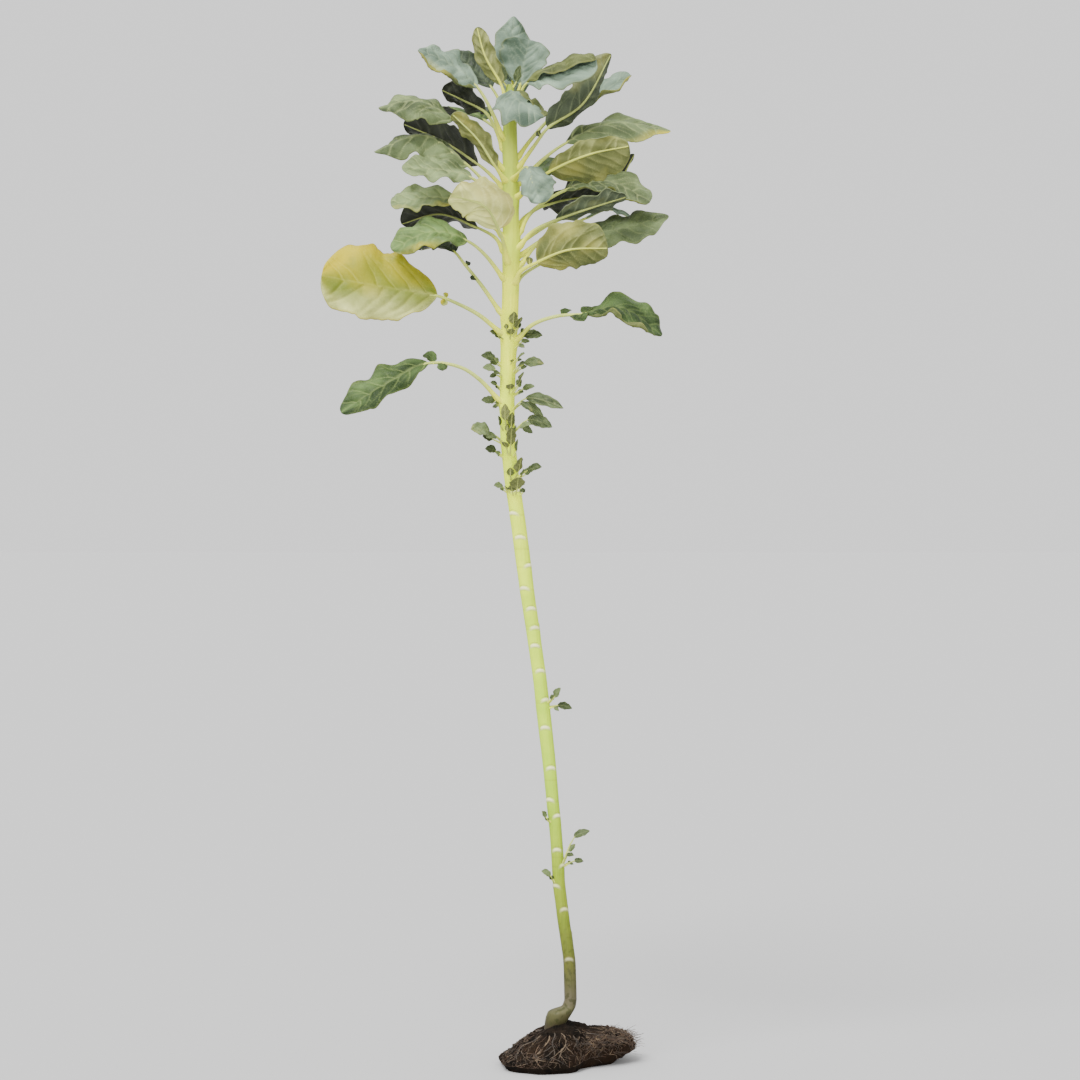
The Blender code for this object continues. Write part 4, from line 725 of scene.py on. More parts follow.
def stalkTube(name, middles, ways, normals, radii, drop, fields):
    sides = np.cross(ways, normals)
    angles = np.linspace(0, 2 * math.pi, leafBuild["stalkSides"], endpoint=False)
    press = 0.16 + 0.62 * ramp(drop, 0.05, 0.40)  # the midrib is flat on top, below the blade
    ring = radii[:, None] * (1 - press[:, None] * np.clip(np.sin(angles), 0, 1)[None, :] ** 2)
    rings = (middles[:, None] - (drop * radii)[:, None, None] * normals[:, None]
             + (ring * np.cos(angles))[..., None] * sides[:, None]
             + (ring * np.sin(angles))[..., None] * normals[:, None])
    values = np.repeat(fields[:, None, :], len(angles), axis=1)
    tube = closedTube(name, rings, "leafPaint", values)
    tube.data.materials.append(leafMaterials["stalk"])
    return tube


def leafShape(name, start, outward, stalk, blade, plan, radii, rows, columns, ribRows, stalkRows):
    plan = {"outline": (0.55, 0.45), "fold": (12, 12), "curl": (0, 0), "roll": (0, 0), "rollFrom": 0.6,
            "rollTo": 1.0, "leaflets": (), **plan}
    route, lengths = smoothRoute([start, *stalk, *blade])
    heel = lengths[(len(stalk) + 1) * 24]
    whole = lengths[-1]
    even = np.linspace(0, 1, rows + 1)
    shares = 0.55 * (1 - np.cos(math.pi * even)) / 2 + 0.45 * even
    onStalk = np.linspace(0, 1, stalkRows, endpoint=False)
    places = np.concatenate([heel * onStalk, heel + (whole - heel) * shares])
    middles, ways = readRoute(route, lengths, places)
    normals = carriedNormals(ways, stalkRows + rows // 2, plan["face"])
    rib = leafBuild["ribEnd"] + (radii[1] - leafBuild["ribEnd"]) * (1 - shares) ** leafBuild["ribTaper"]
    phases = np.random.default_rng(plan["seed"]).uniform(0, 2 * math.pi, 4)
    draw = np.random.default_rng(plan["seed"] + 900)
    teeth, depth = plan.get("teeth", leafBuild["teeth"])
    reaches = []
    for half in (0, 1):
        reach = plan["width"][half] * outlineShare(shares, plan["outline"])
        reach = reach * (1 + plan.get("ripple", 0.06) * np.sin(7.4 * math.pi * shares + phases[half]))
        first, second, third = draw.uniform(0, 2 * math.pi, 3)
        uneven = shares + 0.04 * np.sin(7 * shares + first)
        lobes = np.abs(np.sin(math.pi * teeth * uneven + second)) ** 0.6 - leafBuild["trough"]
        high, low = leafBuild["fineLobes"]
        fineLobes = high * np.sin(37 * uneven + third) + low * np.sin(83 * uneven + first)
        reach = reach * (1 - plan.get("point", 0.0) * ramp(shares, 0.72, 1.0))
        reaches.append(reach * (1 + depth * lobes + fineLobes))
    bladeParts = slice(stalkRows, None)
    pieces = [bladePiece(name, middles[bladeParts], ways[bladeParts], normals[bladeParts], shares, rib,
                         reaches, plan, whole - heel, rows, columns)]
    # stalk and midrib in one tube
    onBlade = stalkRows + np.linspace(0, rows, ribRows).astype(int)[:-1]
    picks = np.concatenate([np.arange(stalkRows), onBlade])
    stalkRadii = radii[0] + (radii[1] - radii[0]) * onStalk
    allRadii = np.concatenate([stalkRadii, rib])
    allShares = np.concatenate([np.zeros(stalkRows), shares])
    flare, flareReach = leafBuild["flare"]
    flared = 1 + plan.get("flare", flare) * np.exp(-(places[picks] / flareReach) ** 2)
    tubeRadii = allRadii[picks] * flared
    inside = start - leafBuild["sunk"] * outward
    tubeMiddles = np.concatenate([[inside], middles[picks]])
    tubeWays = np.concatenate([[outward], ways[picks]])
    tubeWays[1] = outward
    tubeNormals = np.concatenate([[normals[0]], normals[picks]])
    tubeNormals[:2] = unit(normals[0] - np.dot(normals[0], outward) * outward)
    tubeRadii = np.concatenate([tubeRadii[:1], tubeRadii])
    tubeShares = np.concatenate([[0], allShares[picks]])
    drop = leafBuild["ribDrop"] * ramp(tubeShares, 0.0, 0.12)
    fields = np.zeros((len(tubeRadii), 4))
    fields[:, 0] = 0.5 * ramp(tubeShares, 0.0, 0.2)
    # ribDark darkens the stalk and midrib toward the blade: partly painted shade on the ribs of leaves in
    # shadow
    fields[:, 1] = plan.get("ribDark", 0.0) * ramp(tubeShares, -0.02, 0.25)
    baseReach = plan.get("baseReach", leafBuild["baseReach"])
    atBase = np.exp(-(np.concatenate([[0], places[picks]]) / baseReach) ** 2)
    fields[:, 2] = plan.get("stalkAge", 0.2) + leafBuild["baseAge"] * atBase
    fields[:, 3] = plan.get("stalkBloom", 0.6)
    pieces.append(stalkTube(name + "Stalk", tubeMiddles, tubeWays, tubeNormals, tubeRadii, drop, fields))
    for number, (place, half, size) in enumerate(plan["leaflets"]):
        at = int(round(place * stalkRows)) - (place >= 1)
        out = np.cross(ways[at], normals[at]) * (1 if half else -1)
        root = middles[at] + 0.5 * radii[1] * out
        tip = root + size * (0.92 * out + 0.45 * ways[at])
        middle = root + 0.5 * size * (1.05 * out + 0.2 * ways[at]) + 0.12 * size * normals[at]
        smallPlan = {**plan, **leafletPlan, "width": (0.5 * size, 0.5 * size), "face": normals[at],
                     "seed": plan["seed"] + 60 + number}
        pieces.append(leafShape(name + "Leaflet", root - leafBuild["leafletSunk"] * out, out, (),
                                (root, middle, tip), smallPlan, leafBuild["leafletStalk"], 14, 5, 6, 2))
    return joinPieces(pieces, name)


def buildLeaf(nodeName, plan):
    middle, radius = stemAt(plan["stem"])
    radius = max(radius, stemAt(plan["stem"] - 0.01)[1], stemAt(plan["stem"] + 0.01)[1])
    stalk = plan.get("stalk", ())
    first = np.array((*stalk, *plan["blade"])[0])
    outward = unit((first - middle) * (1, 1, 0))
    start = middle + (radius + 0.0006) * outward
    radii = leafBuild["topStalk"] if nodeName.startswith("top") else leafBuild["stalk"]
    words = nodeName.split("_")
    name = words[0] + "Leaf" + words[2]
    blade = np.array(plan["blade"])
    length = np.linalg.norm(np.diff(blade, axis=0), axis=1).sum()
    rows = int(np.clip(length / leafBuild["rowStep"], 48, 130))
    columns = int(np.clip(max(plan["width"]) / leafBuild["columnStep"], 11, 28))
    piece = leafShape(name, start, outward, stalk, plan["blade"], plan, radii, rows, columns,
                      leafBuild["ribRows"], leafBuild["stalkRows"])
    keepPiece(piece, nodeName)


for nodeName, plan in leafPlans.items():
    buildLeaf(nodeName, plan)
print("walking stick kale: leaves made")


stemLook = {
    "scarRelief": 0.0014,
    "scarHalfHeight": 0.0032,
    "scarSpread": 44,  # degrees to each side
    "baseSwell": 0.0030,  # under each leaf stalk
    "ridges": 0.00035,
    "smoothing": (15, 3),  # rings averaged along the bare stem, and at the collar
    "wander": ((0.012, 3, 9), (0.008, 5, -14)),  # out of round: share, lobes, turn with height
    "tones": (  # share of 1.9 m of height, colour
        (0.0, (0.020, 0.015, 0.009)), (0.038, (0.032, 0.026, 0.013)), (0.045, (0.070, 0.060, 0.026)),
        (0.054, (0.092, 0.082, 0.038)), (0.060, (0.098, 0.080, 0.048)), (0.068, (0.100, 0.082, 0.050)),
        (0.077, (0.088, 0.078, 0.034)), (0.10, (0.095, 0.092, 0.020)), (0.125, (0.125, 0.145, 0.018)),
        (0.185, (0.245, 0.32, 0.012)), (0.285, (0.40, 0.62, 0.012)), (0.41, (0.62, 0.84, 0.014)),
        (0.50, (0.76, 0.92, 0.020)), (0.62, (0.82, 0.94, 0.022)), (0.75, (0.92, 0.94, 0.026)),
        (0.84, (0.62, 0.70, 0.040)), (0.93, (0.32, 0.40, 0.05)), (1.0, (0.20, 0.26, 0.05))),
    "cloud": (0.66, 0.78, 0.55),
    "streak": (0.52, 0.66, 0.03),
    "blot": (0.030, 0.034, 0.009),  # on the old, low bark
    "scar": (0.86, 0.82, 0.50),
    "rim": (0.12, 0.10, 0.02),
    "soiled": (0.055, 0.040, 0.022),
}


def stemMaterial():
    material, tree, shader = newMaterial("stemBark")
    place = placeOn(tree)
    scarPart, rimPart, soiledPart, _ = paintedParts(tree, "stemPaint")
    stretch = addNode(tree, "ShaderNodeMapping")
    stretch.inputs["Scale"].default_value = (1, 1, 0.09)
    tree.links.new(place, stretch.inputs["Vector"])
    streaks = spread(tree, noiseAt(tree, stretch.outputs["Vector"], 260.0, 4.0), 0.32, 0.68)
    clouds = spread(tree, noiseAt(tree, place, 22.0, 3.0), 0.32, 0.68)
    high = addNode(tree, "ShaderNodeSeparateXYZ")
    tree.links.new(place, high.inputs["Vector"])
    level = spread(tree, high.outputs["Z"], 0.0, 1.9)
    tones = addNode(tree, "ShaderNodeValToRGB")
    stops = stemLook["tones"]
    ends = tones.color_ramp.elements
    ends[0].position, ends[0].color = stops[0][0], (*stops[0][1], 1)
    ends[1].position, ends[1].color = stops[-1][0], (*stops[-1][1], 1)
    for position, tone in stops[1:-1]:
        ends.new(position).color = (*tone, 1)
    tree.links.new(level, tones.inputs["Fac"])
    cloudy = product(tree, clouds, 0.8)
    colour = mixColour(tree, cloudy, tones.outputs["Color"], stemLook["cloud"], "MULTIPLY")
    upper = product(tree, spread(tree, level, 0.08, 0.30), 0.36)
    colour = mixColour(tree, product(tree, streaks, upper), colour, stemLook["streak"])
    blots = spread(tree, noiseAt(tree, place, 95.0, 4.0), 0.52, 0.60)
    old = product(tree, spread(tree, level, 0.16, 0.07), 0.7)
    colour = mixColour(tree, product(tree, blots, old), colour, stemLook["blot"])
    clean = product(tree, scarPart, spread(tree, level, 0.02, 0.25))
    colour = mixColour(tree, clean, colour, stemLook["scar"])
    colour = mixColour(tree, rimPart, colour, stemLook["rim"])
    colour = mixColour(tree, soiledPart, colour, stemLook["soiled"])
    tree.links.new(colour, shader.inputs["Base Color"])
    tree.links.new(spread(tree, streaks, -1.6, 1.8), shader.inputs["Roughness"])
    shader.inputs["Specular IOR Level"].default_value = 0.20
    height = total(tree, product(tree, streaks, 0.6), product(tree, clouds, 0.3))
    bumpBy(tree, shader, height, 0.30, 0.0010)
    return material


def evened(values, size):  # the mean of so many neighbours
    return np.convolve(np.pad(values, size // 2, mode="edge"), np.ones(size) / size, mode="valid")


def bearingGap(degrees, bearing):  # from -180 to 180
    return (degrees - bearing + 180) % 360 - 180


def buildStem():
    heights = np.linspace(0.030, 1.846, stemPlan["rings"])
    table = np.array(stemPlan["line"])
    line = []
    for column in (1, 2):
        values = np.interp(heights, table[:, 0], table[:, column])
        wide, narrow = (evened(values, size) for size in stemLook["smoothing"])
        line.append(narrow + (wide - narrow) * ramp(heights, 0.12, 0.17))
    angles = np.linspace(0, 2 * math.pi, stemPlan["sides"], endpoint=False)
    degrees = np.degrees(angles)[None, :]
    h = heights[:, None]
    outOfRound = sum(most * np.sin(lobes * angles + turn * h) for most, lobes, turn in stemLook["wander"])
    radius = line[1][:, None] * (1 + outOfRound)
    radius = radius + stemLook["ridges"] * np.sin(13 * angles + 2.0 * np.sin(6 * h)) * ramp(h, 0.10, 0.16)
    scar = np.zeros_like(radius)
    rim = np.zeros_like(radius)
    for height, bearing in stemPlan["scars"]:
        off = bearingGap(degrees, bearing)
        bow = height - 0.0035 * (np.abs(off) / stemLook["scarSpread"]) ** 2  # the ends droop
        rise = (h - bow) / stemLook["scarHalfHeight"]
        near = np.exp(-(off / stemLook["scarSpread"]) ** 4)
        scar = np.maximum(scar, near * np.exp(-rise ** 4))
        rim = np.maximum(rim, near * np.exp(-((rise - 1.5) / 0.35) ** 2))
        faint = np.exp(-((h - height + 0.004) / 0.0016) ** 2) * 0.35  # a faint line all round
        rim = np.maximum(rim, faint)
        swell = np.exp(-(off / 60) ** 2) * np.exp(-((h - height + 0.010) / 0.014) ** 2)
        radius = radius + 0.0009 * swell
    radius = radius + stemLook["scarRelief"] * scar - 0.0005 * rim
    bases = np.zeros_like(radius)
    for plan in leafPlans.values():
        middle = stemAt(plan["stem"])[0]
        to = np.array((*plan.get("stalk", ()), *plan["blade"])[0]) - middle
        bearing = math.degrees(math.atan2(to[1], to[0]))
        off = bearingGap(degrees, bearing)
        under = plan["stem"] - h
        reach = np.where(under > 0.004, 0.016, 0.007)  # longer below than above
        swell = np.exp(-(off / 26) ** 2) * np.exp(-((under - 0.004) / reach) ** 2)
        small = 0.6 if plan["stem"] > 1.78 else 1.0
        bases = np.maximum(bases, small * swell)
    radius = radius + stemLook["baseSwell"] * bases
    rings = np.stack([line[0][:, None] + radius * np.cos(angles), radius * np.sin(angles),
                      h * np.ones_like(radius)], axis=-1)
    soiled = (1 - ramp(h, 0.066, 0.084)) * np.ones_like(radius)
    values = np.stack([0.85 * scar, 0.55 * rim, 0.75 * soiled, np.ones_like(radius)], axis=-1)
    stem = closedTube("caneStem", rings, "stemPaint", values)
    stem.data.materials.append(stemMaterial())
    bpy.ops.object.shade_smooth()
    keepPiece(stem, "stem")


buildStem()
print("walking stick kale: stem made")


shootPlan = {
    "rows": (  # height, bearing, reach out, rise, blade length, half width, pitch
        (1.365, 300, 0.014, 0.020, 0.030, 0.011, 50), (1.375, 285, 0.016, 0.018, 0.026, 0.010, 75),
        (1.345, 352, 0.014, 0.026, 0.036, 0.012, 10), (1.318, 315, 0.012, 0.012, 0.020, 0.008, 30),
        (1.300, 345, 0.018, 0.020, 0.038, 0.012, 5), (1.262, 310, 0.018, 0.018, 0.030, 0.015, 55),
        (1.258, 350, 0.016, 0.014, 0.024, 0.008, 20), (1.232, 345, 0.022, 0.022, 0.074, 0.014, -8),
        (1.188, 350, 0.024, 0.026, 0.048, 0.014, -10), (1.192, 262, 0.012, 0.020, 0.036, 0.009, 80),
        (1.180, 285, 0.012, 0.022, 0.030, 0.008, 70), (1.142, 275, 0.016, 0.024, 0.046, 0.010, 55),
        (1.100, 295, 0.014, 0.016, 0.034, 0.013, 65), (1.104, 335, 0.018, 0.014, 0.032, 0.011, 20),
        (1.070, 280, 0.016, 0.014, 0.028, 0.015, 60), (1.365, 195, 0.008, 0.010, 0.016, 0.007, 30),
        (1.315, 188, 0.010, 0.014, 0.028, 0.011, 20), (1.294, 200, 0.010, 0.014, 0.026, 0.010, 15),
        (1.270, 190, 0.006, 0.010, 0.014, 0.006, 30), (1.232, 185, 0.010, 0.016, 0.026, 0.010, 15),
        (1.170, 205, 0.024, 0.020, 0.040, 0.018, 15), (1.143, 190, 0.012, 0.012, 0.022, 0.010, 20),
        (1.075, 215, 0.010, 0.012, 0.022, 0.009, 15), (0.680, 345, 0.010, 0.012, 0.024, 0.008, 60),
        (0.672, 5, 0.014, 0.004, 0.028, 0.008, -5), (0.456, 200, 0.006, 0.010, 0.016, 0.006, 60),
        (0.370, 350, 0.020, 0.058, 0.034, 0.009, 30), (0.372, 10, 0.020, 0.010, 0.018, 0.006, 5),
        (0.338, 200, 0.006, 0.018, 0.022, 0.008, 35),
        (1.836, 330, 0.006, 0.014, 0.036, 0.010, 76), (1.838, 178, 0.005, 0.014, 0.040, 0.010, 82)),
    "stalk": (0.0019, 0.0012),
    "sunk": 0.006,
    "turn": 1.4,  # how much they turn to the front
    "companions": 2,  # smaller leaves beside each one
    "leaf": {"outline": (0.60, 0.80), "wave": (0.0026, 1.3), "ruffle": (0.0008, 2.0), "teeth": (2, 0.12),
             "sideVeins": 3, "flare": 0.3, "finish": ("upperSage", "underOlive"), "stalkAge": 0.3,
             "ribDark": 0.9, "baseReach": 0.008},
}


def shootLeaf(row, seed):
    height, bearing, out, rise, length, halfWidth, pitch = row
    middle, radius = stemAt(height)
    outward = compass(bearing)
    up = np.array([0, 0, 1.0])
    start = middle + (radius - shootPlan["sunk"]) * outward
    heel = middle + (radius + out) * outward + rise * up
    way = math.cos(math.radians(pitch)) * outward + math.sin(math.radians(pitch)) * up
    blade = (heel, heel + 0.5 * length * way, heel + length * way - 0.12 * length * up)
    face = up - 0.6 * outward + shootPlan["turn"] * abs(outward[0]) * compass(270)
    plan = {**shootPlan["leaf"], "face": face, "width": (halfWidth, halfWidth), "seed": seed + 200,
            "bloomAndLight": (0.30 + 0.30 * math.sin(2.3 * seed), 0, 0),
            "age": (-0.6 + 0.5 * math.sin(5.1 * seed), 0, 0.6)}
    return leafShape("shootLeaf", start, outward, (), blade, plan, shootPlan["stalk"], 20, 6, 10, 4)


def buildShoots():
    leaves = []
    draw = np.random.default_rng(7)
    for seed, row in enumerate(shootPlan["rows"]):
        leaves.append(shootLeaf(row, seed))
        height, bearing, out, rise, length, halfWidth, pitch = row
        for number in range(shootPlan["companions"] if height < 1.8 else 0):
            turn = (26 if number else -24) + draw.uniform(-8, 8)
            share = draw.uniform(0.34, 0.62)
            small = (height - 0.002, bearing + turn, out * draw.uniform(0.4, 0.8),
                     rise * draw.uniform(0.4, 0.9), length * share, halfWidth * share * 1.15,
                     pitch + draw.uniform(-25, 35))
            leaves.append(shootLeaf(small, seed + 50 * (number + 1)))
    shoots = joinPieces(leaves, "sideShoots")
    keepPiece(shoots, "stem")


buildShoots()
print("walking stick kale: side shoots made")


clodPlan = {
    "middle": (-0.010, 0.0),
    "bearings": (0, 20, 40, 60, 90, 120, 150, 180, 210, 242, 270, 306, 335, 360),
    "reach": (0.128, 0.148, 0.132, 0.112, 0.098, 0.100, 0.106,
              0.114, 0.120, 0.116, 0.088, 0.068, 0.082, 0.128),
    "height": 0.079,
    "bulge": 0.013,
    "foot": 0.90,
    "lift": 0.013,  # how much higher its widest part is at the right end
    "tuck": 0.20,  # how much less of the reach is flat there
    "lumps": 0.0045,
    "drop": 0.014,
    "shoulder": 0.04,
    "squareness": (2.45, 1.25),
    "around": 260,
    "down": 84,
    "crumbling": ((22.0, 0.0030), (8.0, 0.0024), (3.1, 0.0014)),  # size in mm, height in m
    "settled": 0.0012,
    "clearance": 0.0006,  # above the ground, past the flat foot
    "footRows": (0.0, 0.2, 0.4, 0.6, 0.8),
    "deep": (0.0022, 0.0018, 0.0014),
    "clump": (0.0120, 0.0080, 0.0050),
    "reddish": (0.024, 0.0125, 0.0062),
    "speck": (0.055, 0.040, 0.024),
    "bump": (0.7, 0.0016),
}

rootPlan = {
    "rows": (  # bearing at the collar, bearing at the end, share of the way down
        (246, 250, 0.97), (262, 256, 0.93), (276, 268, 0.95), (228, 214, 0.80), (300, 296, 0.72),
        (345, 352, 0.86), (20, 12, 0.80), (75, 84, 0.92), (120, 132, 0.90), (168, 176, 0.85)),
    "radii": (0.0042, 0.0013),
    "height": 0.066,
    "sunk": 0.008,
    "start": 0.42,
    "swing": (4, 5),
    "rings": 44,
    "sides": 8,
    "paleness": (0.80, 0.05, 0.60, 0.35, 0.10, 0.25, 0.30, 0.35, 0.40, 0.25),
    "thinner": 0.55,  # than the plain solids' roots
    "forks": 4,  # from each main root
    "ground": 0.0005,
    "dull": (0.026, 0.018, 0.011),
    "pale": (0.21, 0.145, 0.082),
    "red": (0.055, 0.024, 0.011),
    "dirt": (0.012, 0.008, 0.005),
    "bump": (0.5, 0.0008),
}

fineRootPlan = {
    "count": 760,
    "points": 9,
    "matShare": 0.42,  # that grow in the mat of reddish roots at the right end
    "matBearings": (-42, 40),
    "down": (0.30, 0.95),
    "length": (0.015, 0.055),
    "size": (0.00022, 0.00062),
    "thick": (0.10, 1.5),  # how many are thicker, and how much
    "bend": (0.22, 0.25),
    "looseShare": 0.6,
    "looseFrom": 3,  # points of it that lie on the soil
    "depth": 0.11,  # of the clod, for a step downwards
    "standOff": 0.0022,
}

crumbPlan = {
    "count": 520,
    "size": (0.0008, 0.0030),
    "uneven": 0.28,
    "standOff": 0.15,
    "ground": 0.0004,
}


def rightness(bearing):  # 1 at the right end, 0 from the front, left and back
    return np.maximum(np.cos(np.radians(bearing)), 0) ** 2


def clodPoint(bearing, down):  # down is 0 at the top of the middle and 1 at the widest part
    turned = bearing % 360
    reach = np.interp(turned, clodPlan["bearings"], clodPlan["reach"])
    squareness = clodPlan["squareness"][0] + clodPlan["squareness"][1] * math.cos(math.radians(turned))
    angle = math.radians(90 * (1 - down))
    out = reach * max(math.cos(angle), 0) ** (2 / squareness)
    high = max(math.sin(angle), 0) ** (2 / squareness)
    point = np.array([*clodPlan["middle"], 0.0]) + out * compass(turned)
    shoulder = min(max(point[0] / clodPlan["shoulder"], 0), 1)
    bulge = clodPlan["bulge"] + clodPlan["lift"] * rightness(turned)
    point[2] = bulge + (clodPlan["height"] - clodPlan["drop"] * shoulder - bulge) * high
    waves = math.sin(58 * point[0] + 1.3) * math.sin(71 * point[1] + 0.4)
    waves += math.sin(95 * point[2] + 43 * point[0])
    lump = clodPlan["lumps"] * waves * min(1, 3 * down) * out / reach
    return point + lump * compass(turned)


def roughness(point):  # crumbs and hollows of the soil, in metres
    place = Vector(point) * 1000
    high = sum(noise.noise(place / size) * most for size, most in clodPlan["crumbling"])
    return high - clodPlan["settled"]


def soilMaterial():
    material, tree, shader = newMaterial("darkSoil")
    place = placeOn(tree)
    clumps = spread(tree, noiseAt(tree, place, 55.0, 5.0), 0.35, 0.65)
    grains = noiseAt(tree, place, 900.0, 3.0)
    specks = spread(tree, noiseAt(tree, place, 330.0, 2.0), 0.62, 0.72)
    red = spread(tree, noiseAt(tree, place, 16.0, 2.0), 0.50, 0.66)
    colour = mixColour(tree, clumps, clodPlan["deep"], clodPlan["clump"])
    colour = mixColour(tree, product(tree, red, 0.5), colour, clodPlan["reddish"])
    colour = mixColour(tree, product(tree, specks, 0.4), colour, clodPlan["speck"])
    tree.links.new(colour, shader.inputs["Base Color"])
    shader.inputs["Roughness"].default_value = 0.95
    shader.inputs["Specular IOR Level"].default_value = 0.08
    height = total(tree, product(tree, grains, 0.5), product(tree, clumps, 0.4))
    bumpBy(tree, shader, height, *clodPlan["bump"])
    return material


def rootMaterial():
    material, tree, shader = newMaterial("rootSkin")
    place = placeOn(tree)
    palePart, redPart, dirtPart, _ = paintedParts(tree, "rootPaint")
    dirt = spread(tree, noiseAt(tree, place, 120.0, 4.0), 0.42, 0.62)
    colour = mixColour(tree, palePart, rootPlan["dull"], rootPlan["pale"])
    colour = mixColour(tree, redPart, colour, rootPlan["red"])
    colour = mixColour(tree, product(tree, dirt, dirtPart), colour, rootPlan["dirt"])
    tree.links.new(colour, shader.inputs["Base Color"])
    shader.inputs["Roughness"].default_value = 0.75
    bumpBy(tree, shader, noiseAt(tree, place, 500.0, 4.0), *rootPlan["bump"])
    return material


def buildClod():
    bearings = np.linspace(0, 360, clodPlan["around"], endpoint=False)
    rings = []
    for down in np.linspace(1, 0.0, clodPlan["down"] + 1)[:-1]:
        rings.append(np.array([clodPoint(bearing, down) for bearing in bearings]))
    widest = rings[0]
    middle = np.array([*clodPlan["middle"], 0.0])
    low = []
    for share in clodPlan["footRows"]:  # from the flat foot out to the widest part
        flat = (clodPlan["foot"] - clodPlan["tuck"] * rightness(bearings))[:, None]
        bottom = (middle + flat * (widest - middle)) * (1, 1, 0)
        low.append(bottom + share * (widest - bottom))
    inner = [(middle + part * (low[0] - middle)) * (1, 1, 0) for part in (0.05, 0.5)]
    rings = np.array([*inner, *low, *rings])
    # each point moves along the surface's own normal by the soil's roughness, and never below the ground
    across = np.roll(rings, -1, axis=1) - np.roll(rings, 1, axis=1)
    along = np.gradient(rings, axis=0)
    normals = np.cross(across, along)
    normals = normals / np.maximum(np.linalg.norm(normals, axis=2), 1e-9)[..., None]
    for i in range(3, len(rings)):
        for j in range(rings.shape[1]):
            rings[i, j] += roughness(rings[i, j]) * normals[i, j]
    rings[3:, :, 2] = np.maximum(rings[3:, :, 2], clodPlan["clearance"])
    clod = closedTube("soilClod", rings)
    clod.data.materials.append(soilMaterial())
    bpy.ops.object.shade_smooth_by_angle(angle=math.radians(60))
    keepPiece(clod, "soil_clod")
    return clod.data.materials[0]


def onClod(bearing, down):  # place and outward normal on the clod
    point = clodPoint(bearing, down)
    east = clodPoint(bearing + 1.5, down) - clodPoint(bearing - 1.5, down)
    lower, upper = min(down + 0.02, 1.0), max(down - 0.02, 0.02)
    normal = unit(np.cross(east, clodPoint(bearing, upper) - clodPoint(bearing, lower)))
    return point + roughness(point) * normal, normal


def rootTube(path, sizes, paleness, skin, draw):  # a tapering root along the path
    route, lengths = smoothRoute(path)
    places = np.linspace(0, lengths[-1], rootPlan["rings"])
    middles, ways = readRoute(route, lengths, places)
    share = places / lengths[-1]
    normals = carriedNormals(ways, 0, (0.02, 0.03, 1))
    size = sizes[0] + (sizes[1] - sizes[0]) * share ** 0.8
    knots = 0.13 * np.sin(27 * share + draw.uniform(0, 6))
    size = size * (1 + knots + 0.10 * draw.standard_normal(len(share)))
    sides = np.cross(ways, normals)
    sway = 0.6 * sizes[0] * np.sin(15 * share + draw.uniform(0, 6))
    middles = middles + sway[:, None] * sides
    angles = np.linspace(0, 2 * math.pi, rootPlan["sides"], endpoint=False)
    rings = (middles[:, None] + (size[:, None] * np.cos(angles))[..., None] * sides[:, None]
             + (size[:, None] * np.sin(angles))[..., None] * normals[:, None])
    rings[..., 2] = np.maximum(rings[..., 2], rootPlan["ground"])
    values = np.zeros((*rings.shape[:2], 4))
    values[..., 0] = (paleness * (1 - 0.5 * share))[:, None]
    values[..., 2] = 0.9
    root = closedTube("root", rings, "rootPaint", values)
    root.data.materials.append(skin)
    return root


def buildMainRoots():
    draw = np.random.default_rng(11)
    skin = rootMaterial()
    pieces = []
    middle, radius = stemAt(rootPlan["height"])
    for (first, last, end), paleness in zip(rootPlan["rows"], rootPlan["paleness"]):

        def along(share, first=first, last=last, end=end):  # bearing and share of the way down
            bearing = first + (last - first) * share + rootPlan["swing"][0] * math.sin(
                rootPlan["swing"][1] * share + first)
            return bearing, rootPlan["start"] + (end - rootPlan["start"]) * share

        path = [middle + (radius - rootPlan["sunk"]) * compass(first)]
        path += [onClod(*along(share))[0] for share in np.linspace(0, 1, 7)]
        thick, thin = (rootPlan["thinner"] * size for size in rootPlan["radii"])
        pieces.append(rootTube(np.array(path), (thick, thin), paleness, skin, draw))
        for number in range(rootPlan["forks"]):
            share = draw.uniform(0.30, 0.85)
            bearing, down = along(share)
            turn = (1 if number % 2 else -1) * draw.uniform(7, 24)
            fall = draw.uniform(0.10, 0.26)
            parts = (0, 0.35, 0.7, 1)
            path = [onClod(bearing + turn * part, min(down + fall * part, 1.0))[0] for part in parts]
            size = (0.75 - 0.4 * share) * thick
            pieces.append(rootTube(np.array(path), (size, 0.0004), 0.8 * paleness, skin, draw))
    roots = joinPieces(pieces, "mainRoots")
    keepPiece(roots, "stem")
    return skin


